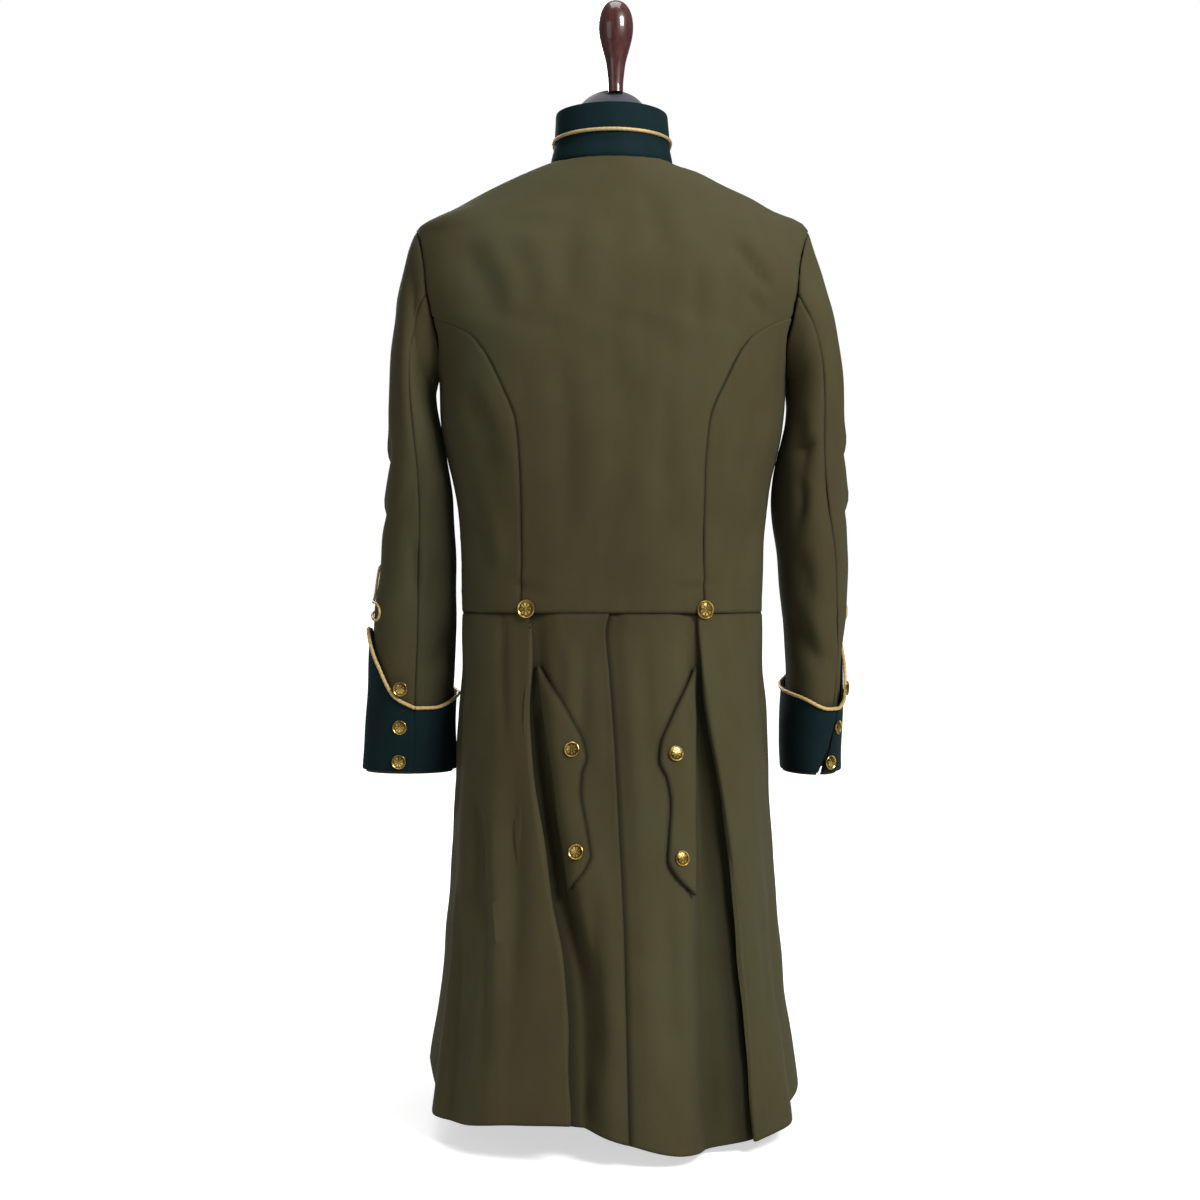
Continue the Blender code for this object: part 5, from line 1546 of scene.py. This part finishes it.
@dataclass(frozen=True)
class SleeveKnot:
    """The three-lobed cord knot above the cuff's point."""
    maker: CordMaker
    shape: SleeveShape
    height: float = 0.572
    reach: float = 0.046
    half_width: float = 0.0075
    heart: float = 0.009
    skew: float = 0.0045
    turn: float = 110.0
    seam_height: float = 0.457
    clearance: float = 0.0004

    def build(self) -> None:
        """Lay the knot on the sleeve."""
        outline = []
        for lean in (-12.0, 90.0, 192.0):
            along = np.array((math.cos(math.radians(lean)), math.sin(math.radians(lean))))
            across = np.array((-along[1], along[0]))
            for step in np.linspace(-1.0, 1.0, 40):
                out = self.heart + (self.reach - self.heart) * math.cos(math.pi * step / 2)
                over = self.half_width * math.sin(math.pi * step) + self.skew * step
                outline.append(along * out + across * over)
        flat = self.soften(np.array(outline))
        station = self.shape.station_at(self.height + flat[:, 1])
        seam = float(self.shape.seam(self.shape.station_at(self.seam_height)))
        middle = seam - self.turn
        degree = np.linalg.norm(self.shape.point(middle + 1.0, station)
                                - self.shape.point(middle, station), axis=-1)
        route = self.shape.lifted(middle + flat[:, 0] / degree, station,
                                  CLOTH + CORD_RADIUS + self.clearance)
        self.maker.lay_cord(f"sleeve_knot_{self.shape.side.word}", route, CORD_RADIUS, True)

    @staticmethod
    def soften(outline: Array) -> Array:
        """Round the turns between the lobes."""
        for _ in range(6):
            outline = (np.roll(outline, 1, 0) + 2 * outline + np.roll(outline, -1, 0)) / 4
        return outline


# Bench work

class Bench:
    """Shapes hard pieces in edit mode, one at a time."""

    @staticmethod
    def clear() -> None:
        """Deselect everything."""
        bpy.ops.object.select_all(action="DESELECT")

    @staticmethod
    def pick(test: Callable[[bmesh.types.BMFace], bool]) -> None:
        """Select the faces of the piece in edit mode that pass a test."""
        work = bmesh.from_edit_mesh(bpy.context.object.data)
        for face in work.faces:
            face.select_set(False)
        for face in work.faces:
            if test(face):
                face.select_set(True)
        bmesh.update_edit_mesh(bpy.context.object.data)

    @staticmethod
    def pick_ring(height: float) -> None:
        """Select the edges of the ring at a height."""
        bpy.ops.mesh.select_mode(type="EDGE")
        work = bmesh.from_edit_mesh(bpy.context.object.data)
        for edge in work.edges:
            edge.select_set(all(abs(corner.co.z - height) < 1e-6 for corner in edge.verts))
        bmesh.update_edit_mesh(bpy.context.object.data)

    @classmethod
    def turn(cls, name: str, profile: Array, centre: tuple[float, float], steps: int,
             oval: Callable[[float], tuple[float, float, float]] | None = None) -> bpy.types.Object:
        """Raise a closed turned or oval shape, ring by ring, from a circle.

        Args:
            name: The piece's name.
            profile: Radius and height of each ring, from the bottom up.
            centre: The axis in x and y.
            steps: The number of sides.
            oval: Gives a ring's half width, half depth and shift along Y by height.

        Returns:
            The piece, with its place in its mesh.
        """
        cls.clear()
        x, y = centre
        height = bottom = float(profile[0][1])
        bpy.ops.mesh.primitive_circle_add(vertices=steps, radius=1.0, location=(x, y, height))
        piece = bpy.context.object
        piece.name = piece.data.name = name
        bpy.ops.object.mode_set(mode="EDIT")
        bpy.ops.mesh.select_all(action="SELECT")
        wide, deep, shift = 1.0, 1.0, 0.0
        for ring, (radius, level) in enumerate(profile.tolist()):
            if ring:
                move = {"value": (0.0, 0.0, level - height)}
                bpy.ops.mesh.extrude_region_move(TRANSFORM_OT_translate=move)
            new_wide, new_deep, new_shift = oval(level) if oval else (radius, radius, 0.0)
            bpy.ops.transform.translate(value=(0.0, new_shift - shift, 0.0))
            bpy.ops.transform.resize(value=(new_wide / wide, new_deep / deep, 1.0),
                                     center_override=(x, y + new_shift, level))
            wide, deep, shift, height = new_wide, new_deep, new_shift, level
        bpy.ops.mesh.edge_face_add()
        cls.pick_ring(bottom - piece.location.z)
        bpy.ops.mesh.edge_face_add()
        bpy.ops.mesh.select_all(action="SELECT")
        bpy.ops.mesh.normals_make_consistent(inside=False)
        bpy.ops.object.mode_set(mode="OBJECT")
        bpy.ops.object.transform_apply(location=True, rotation=True, scale=True)
        bpy.ops.object.shade_smooth_by_angle(angle=math.radians(38.0))
        return piece


def smooth_profile(points: tuple[tuple[float, float], ...], parts: int) -> Array:
    """Round a turned profile with a curve through its points.

    Args:
        points: Radius and height of each point.
        parts: How many steps to take between two points.

    Returns:
        The finer profile.
    """
    corners = np.array(points, float)
    padded = np.vstack((2 * corners[0] - corners[1], corners, 2 * corners[-1] - corners[-2]))
    result = []
    for at in range(1, len(padded) - 2):
        before, start, end, after = padded[at - 1:at + 3]
        for part in np.arange(parts) / parts:
            result.append(0.5 * (2 * start + (end - before) * part
                                 + (2 * before - 5 * start + 4 * end - after) * part ** 2
                                 + (3 * start - before - 3 * end + after) * part ** 3))
    result.append(corners[-1])
    return np.array(result)


@dataclass(frozen=True)
class ButtonMaker:
    """Domed brass buttons with a corded rim and a raised rosette."""
    wardrobe: Wardrobe
    radius: float = 0.010
    steps: int = 48
    petals: int = 8
    dome_edge: float = 0.81
    crown: float = 0.11

    def pattern(self) -> bpy.types.Mesh:
        """Model the button once, standing on the origin and facing up.

        Returns:
            Its mesh, which the copies share the shape of.
        """
        size = self.radius
        Bench.clear()
        bpy.ops.mesh.primitive_cylinder_add(vertices=self.steps, radius=size, depth=0.10 * size,
                                            location=(0.0, 0.0, 0.05 * size))
        piece = bpy.context.object
        bpy.ops.object.transform_apply(location=True)
        bpy.ops.object.mode_set(mode="EDIT")
        bpy.ops.mesh.select_mode(type="FACE")
        Bench.pick(lambda face: face.normal.z > 0.9)
        rings = ((0.03, 0.060), (0.05, 0.030), (0.05, -0.020), (0.04, -0.045), (0.02, 0.0))
        for inward, rise in rings:
            self.step_in(inward * size, rise * size)
        levels = np.linspace(self.dome_edge, 0.10, 9)
        for outer, inner in pairwise(levels):
            rise = self.crown * ((outer / self.dome_edge) ** 2 - (inner / self.dome_edge) ** 2)
            self.step_in((outer - inner) * size, rise * size)
        self.raise_rim(size)
        self.raise_petals(size)
        bpy.ops.object.mode_set(mode="OBJECT")
        bpy.ops.mesh.primitive_cylinder_add(vertices=12, radius=0.22 * size, depth=0.0016,
                                            location=(0.0, 0.0, -0.0008 + 0.0001))
        shank = bpy.context.object
        bpy.ops.object.transform_apply(location=True)
        piece.select_set(True)
        shank.select_set(True)
        bpy.context.view_layer.objects.active = piece
        bpy.ops.object.join()
        bpy.ops.object.shade_smooth_by_angle(angle=math.radians(32.0))
        mesh = piece.data.copy()
        bpy.data.objects.remove(piece, do_unlink=True)
        self.stain(mesh)
        return mesh

    def stain(self, mesh: bpy.types.Mesh) -> None:
        """Mark the sunk ground between the petals, where dark polish stays."""
        spots = np.array([vertex.co for vertex in mesh.vertices]) / self.radius
        reach = np.linalg.norm(spots[:, :2], axis=1)
        ground = 0.125 + self.crown * (1 - (reach / self.dome_edge) ** 2)
        inside = (reach > 0.11) & (reach < self.dome_edge + 0.01)
        sunk = mesh.attributes.new("sunk", "FLOAT", "POINT")
        sunk.data.foreach_set("value", (inside & (spots[:, 2] < ground + 0.03)).astype(float))

    @staticmethod
    def step_in(inward: float, rise: float) -> None:
        """Inset the selected face and move it along the axis."""
        bpy.ops.mesh.inset(thickness=inward, depth=0.0)
        bpy.ops.transform.translate(value=(0.0, 0.0, rise))

    def slice_of(self, face: bmesh.types.BMFace) -> int:
        """Give which of the button's slices a face lies in."""
        centre = face.calc_center_median()
        turn = math.atan2(centre.y, centre.x) % (2 * math.pi)
        return int(turn / (2 * math.pi) * self.steps)

    def raise_rim(self, size: float) -> None:
        """Raise every other face of the rim, as a cord's turns."""
        Bench.pick(lambda face: 0.90 * size < face.calc_center_median().xy.length < 0.965 * size
                   and face.calc_center_median().z > 0.11 * size and self.slice_of(face) % 2 == 0)
        bpy.ops.transform.shrink_fatten(value=0.045 * size)

    def raise_petals(self, size: float) -> None:
        """Raise a rosette of petals round a small boss."""
        share = self.steps // self.petals
        Bench.pick(lambda face: 0.20 * size < face.calc_center_median().xy.length < 0.66 * size
                   and face.normal.z > 0.3 and self.slice_of(face) % share not in (0, share - 1))
        bpy.ops.mesh.extrude_region_shrink_fatten(
            TRANSFORM_OT_shrink_fatten={"value": 0.085 * size})
        Bench.pick(lambda face: face.calc_center_median().xy.length < 0.12 * size
                   and face.calc_center_median().z > 0.2 * size)
        bpy.ops.mesh.extrude_region_move(TRANSFORM_OT_translate={"value": (0.0, 0.0, 0.05 * size)})

    def place(self, mesh: bpy.types.Mesh, node: str, point: Array, normal: Array,
              size: float) -> None:
        """Set one button on the cloth.

        Args:
            mesh: The pattern's mesh.
            node: The CAD node that it stands for.
            point: Its underside's centre.
            normal: The way it faces.
            size: Its radius.
        """
        facing = Vector(normal).to_track_quat("Z", "Y").to_matrix().to_4x4()
        copy = mesh.copy()
        scale = Matrix.Scale(size / self.radius, 4)
        spin = Matrix.Rotation(sum(map(ord, node)) * 0.37, 4, "Z")
        copy.transform(Matrix.Translation(Vector(point)) @ facing @ spin @ scale)
        copy.name = f"{node}_brass"
        piece = bpy.data.objects.new(copy.name, copy)
        bpy.context.scene.collection.objects.link(piece)
        self.wardrobe.dress(piece, "brass_button", node)


HIP_BUTTONS = {Side.LEFT: (-0.0932, 0.5690), Side.RIGHT: (0.1003, 0.5680)}
FLAP_BUTTONS = {Side.LEFT: ((-0.0430, 0.4175), (-0.0370, 0.3125)),
                Side.RIGHT: ((0.0648, 0.4130), (0.0690, 0.3050))}
CUFF_BUTTON_HEIGHTS = (0.479, 0.4350, 0.3960)
CUFF_BUTTON_TURNS = {Side.LEFT: 18.0, Side.RIGHT: 10.0}
FRONT_BUTTON_HEIGHTS = np.linspace(0.590, 1.020, 8)


@dataclass(frozen=True)
class Buttons:
    """Every button of the coat, where the frame has it."""
    maker: ButtonMaker
    coat: CoatShape
    skirt: Skirt
    sleeves: tuple[Sleeve, ...]
    lift: float = CLOTH + 0.0008
    large: float = 0.010
    small: float = 0.008

    def build(self) -> None:
        """Place the hip, flap, cuff and front buttons."""
        mesh = self.maker.pattern()
        for side, (place, height) in HIP_BUTTONS.items():
            angle = self.coat.angle_at(place, height)
            self.on_coat(mesh, f"hip_button_{side.word}", angle, height, self.lift, self.large)
        flap_lift = self.skirt.flap_lift + self.lift
        for side, places in FLAP_BUTTONS.items():
            for count, (place, height) in enumerate(places, 1):
                self.on_skirt(mesh, f"flap_button_{side.word}_{count}", side, place, height, flap_lift)
        for sleeve in self.sleeves:
            self.on_cuff(mesh, sleeve)
        for count, height in enumerate(FRONT_BUTTON_HEIGHTS, 1):
            self.on_coat(mesh, f"front_button_{count}", 180.0, height,
                         self.coat.lap_depth + self.lift, self.small)

    def on_coat(self, mesh: bpy.types.Mesh, node: str, angle: float, height: float, lift: float,
                size: float) -> None:
        """Place a button on the body."""
        normal = normals_of(self.coat.point, np.asarray(angle), np.asarray(height), (1.0, 0.002))
        self.maker.place(mesh, node, self.coat.lifted(angle, height, lift), normal, size)

    def on_skirt(self, mesh: bpy.types.Mesh, node: str, side: Side, place: float, height: float,
                 lift: float) -> None:
        """Place a button on a pocket flap."""
        shape = self.skirt.shape
        fall = shape.fall_at(np.asarray(place), np.asarray(height))

        def surface(across: Array, down: Array) -> Array:
            return shape.back_point(side, across, down)
        normal = normals_of(surface, np.asarray(place), fall, (0.003, -0.006))
        self.maker.place(mesh, node, surface(np.asarray(place), fall) + lift * normal, normal,
                         self.small)

    def on_cuff(self, mesh: bpy.types.Mesh, sleeve: Sleeve) -> None:
        """Place a cuff's three buttons, the top one clear of the piping."""
        shape = sleeve.shape
        for count, height in enumerate(CUFF_BUTTON_HEIGHTS, 1):
            station = shape.station_at(height)
            turn = shape.seam(station) - CUFF_BUTTON_TURNS[shape.side]
            lift = sleeve.cuff_lift + self.lift + (2 * PIPING_RADIUS if count == 1 else 0.0)
            point, normal = shape.lifted(turn, station, lift), shape.normal(turn, station)
            self.maker.place(mesh, f"cuff_button_{shape.side.word}_{count}", point, normal,
                             self.small)


@dataclass(frozen=True)
class DressForm:
    """The limbless form: torso, neck cap, knob, pole and base."""
    wardrobe: Wardrobe
    knob_axis: tuple[float, float] = (0.004, -0.020)
    cap_axis: tuple[float, float] = (0.0, 0.010)
    stand_axis: tuple[float, float] = (0.0, 0.020)
    neck_top: float = 1.122

    def build(self) -> None:
        """Make the form's five pieces."""
        self.torso()
        self.cap()
        self.knob()
        self.stand()

    def torso(self) -> None:
        """Make the padded torso as one smooth oval column."""
        def oval(height: float) -> tuple[float, float, float]:
            wide, back, front = (float(FORM_RINGS.read(name, height))
                                 for name in ("half_width", "back", "front"))
            return wide, (back + front) / 2, (front - back) / 2
        heights = np.concatenate((np.linspace(0.400, 0.412, 4), np.linspace(0.425, 1.1215, 64)))
        profile = np.stack((np.ones_like(heights), heights), axis=-1)
        piece = Bench.turn("form_torso_cover", profile, (0.0, 0.0), 64, oval)
        self.wardrobe.dress(piece, "form_cover", "form_torso")

    def cap(self) -> None:
        """Make the neck cap with a piped seam round its foot."""
        foot = self.neck_top + CLEAR
        profile = smooth_profile(((0.0455, foot), (0.0465, foot + 0.0015), (0.0462, 1.1290),
                                  (0.0452, 1.1320), (0.0410, 1.1430), (0.0300, 1.1555),
                                  (0.0160, 1.1630), (0.0060, 1.1649)), 4)
        piece = Bench.turn("form_neck_cap_cover", profile, self.cap_axis, 56)
        self.wardrobe.dress(piece, "cap_cover", "form_neck_cap")

    def knob(self) -> None:
        """Make the turned knob on its stem, with a small collar at its foot."""
        profile = smooth_profile((
            (0.0085, 1.1560), (0.0085, 1.1600), (0.0086, 1.1660), (0.0098, 1.1780),
            (0.0115, 1.1900), (0.0155, 1.2050), (0.0188, 1.2180), (0.0200, 1.2310),
            (0.0185, 1.2430), (0.0150, 1.2515), (0.0100, 1.2572), (0.0040, 1.2600),
            (0.0006, 1.2605)), 5)
        piece = Bench.turn("form_knob_turned", profile, self.knob_axis, 56)
        self.wardrobe.dress(piece, "lacquered_wood", "form_knob")

    def stand(self) -> None:
        """Make the tube pole with its clamp collar, and the weighted round base."""
        pole = np.array(((0.0150, 0.0126), (0.0150, 0.352), (0.0152, 0.3524), (0.0190, 0.3540),
                         (0.0190, 0.3700), (0.0175, 0.3716), (0.0150, 0.3720), (0.0150, 0.3994)))
        piece = Bench.turn("form_pole_tube", pole, self.stand_axis, 40)
        self.wardrobe.dress(piece, "stand_metal", "form_pole")
        base = smooth_profile(((0.1185, 0.0), (0.1200, 0.0016), (0.1200, 0.0060), (0.1190, 0.0086),
                               (0.1160, 0.0102), (0.1000, 0.0114), (0.0300, 0.0120)), 3)
        piece = Bench.turn("form_base_plate", base, self.stand_axis, 72)
        self.wardrobe.dress(piece, "stand_metal", "form_base")


# Studio

@dataclass(frozen=True)
class Studio:
    """A pale floor, soft lamps and the camera."""
    eye: tuple[float, float, float] = (-0.0138, -2.0, 0.5785)
    half_view: float = 0.345
    key: float = 64.0
    fill: float = 7.0
    top: float = 20.0

    def build(self) -> None:
        """Set up the studio."""
        self.floor()
        self.world()
        self.lamp("key", (1.5, -1.7, 2.1), 0.9, self.key)
        self.lamp("fill", (-2.2, -2.2, 1.5), 1.6, self.fill)
        self.lamp("top", (0.0, -0.1, 2.9), 1.4, self.top)
        self.lamp("rear", (-0.8, 2.6, 1.9), 1.4, 6 * self.fill)
        camera = bpy.data.cameras.new("camera")
        camera.sensor_width = 36.0
        camera.lens = 18.0 / self.half_view
        holder = bpy.data.objects.new("camera", camera)
        holder.location = self.eye
        holder.rotation_euler = (math.radians(90.0), 0.0, 0.0)
        bpy.context.scene.collection.objects.link(holder)
        bpy.context.scene.camera = holder

    @staticmethod
    def floor() -> None:
        """Make the pale floor."""
        Bench.clear()
        bpy.ops.mesh.primitive_circle_add(vertices=96, radius=60.0, fill_type="NGON")
        floor = bpy.context.object
        floor.name = "studio_floor"
        material, wiring, shader = new_material("studio floor")
        around = wiring.add("TexCoord").outputs["Object"]
        greys = ((0.3, (0.86, 0.86, 0.86)), (0.7, (0.90, 0.90, 0.90)))
        tone = wiring.ramp(wiring.noise(around, 3.0), greys)
        wiring.join(tone, shader.inputs["Base Color"])
        shader.inputs["Roughness"].default_value = 0.9
        shader.inputs["Emission Color"].default_value = (1.0, 1.0, 1.0, 1.0)
        distance = wiring.add("VectorMath", operation="LENGTH")
        wiring.join(around, distance.inputs[0])
        far = wiring.add("MapRange", interpolation_type="SMOOTHSTEP")
        wiring.join(distance.outputs["Value"], far.inputs["Value"])
        for name, value in (("From Min", 0.7), ("From Max", 2.6), ("To Min", 0.60), ("To Max", 1.2)):
            far.inputs[name].default_value = value
        seen = wiring.add("LightPath").outputs["Is Camera Ray"]
        wiring.join(wiring.maths("MULTIPLY", far.outputs["Result"], seen),
                    shader.inputs["Emission Strength"])
        floor.data.materials.append(material)

    @staticmethod
    def world() -> None:
        """Light the air evenly, and show it white behind the coat."""
        world = bpy.data.worlds.new("studio air")
        world.use_nodes = True
        bpy.context.scene.world = world
        wiring = Wiring(world.node_tree)
        air = world.node_tree.nodes["Background"]
        air.inputs["Color"].default_value = (1.0, 1.0, 1.0, 1.0)
        seen = wiring.add("LightPath").outputs["Is Camera Ray"]
        wiring.join(wiring.maths("MULTIPLY_ADD", seen, 0.88, 0.12), air.inputs["Strength"])

    @staticmethod
    def lamp(name: str, place: tuple[float, float, float], size: float, power: float) -> None:
        """Hang a soft square lamp that faces the coat."""
        light = bpy.data.lights.new(name, "AREA")
        light.size = size
        light.energy = power
        lamp = bpy.data.objects.new(name, light)
        lamp.location = place
        aim = Vector((0.0, 0.0, 0.65)) - Vector(place)
        lamp.rotation_euler = aim.to_track_quat("-Z", "Y").to_euler()
        bpy.context.scene.collection.objects.link(lamp)


def main() -> None:
    """Build the coat, its form and the studio."""
    logging.basicConfig(level=logging.INFO, format="%(name)s %(message)s")
    for old in [o for o in bpy.data.objects if o.type in ("CAMERA", "LIGHT")]:
        bpy.data.objects.remove(old, do_unlink=True)
    bpy.context.scene.view_settings.view_transform = "Standard"
    Studio().build()
    wardrobe = Wardrobe()
    tailor = Tailor(wardrobe)
    coat = CoatShape()
    cords = CordMaker(wardrobe)
    Body(tailor).build()
    skirt = Skirt(tailor)
    skirt.build()
    sleeves = tuple(Sleeve(tailor, SleeveShape(side)) for side in Side)
    for sleeve in sleeves:
        sleeve.build()
        rim = sleeve.cuff_rim(sleeve.cuff_lift + CLOTH + PIPING_RADIUS - 0.0004)
        cords.lay_cord(f"cuff_piping_{sleeve.shape.side.word}", rim, PIPING_RADIUS)
        SleeveKnot(cords, sleeve.shape).build()
    collar = Collar(tailor)
    collar.build()
    cords.lay_cord("collar_piping", collar.route(CLOTH + PIPING_RADIUS - 0.0004), PIPING_RADIUS)
    Buttons(ButtonMaker(wardrobe), coat, skirt, sleeves).build()
    DressForm(wardrobe).build()
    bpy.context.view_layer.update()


if __name__ == "__main__":
    main()
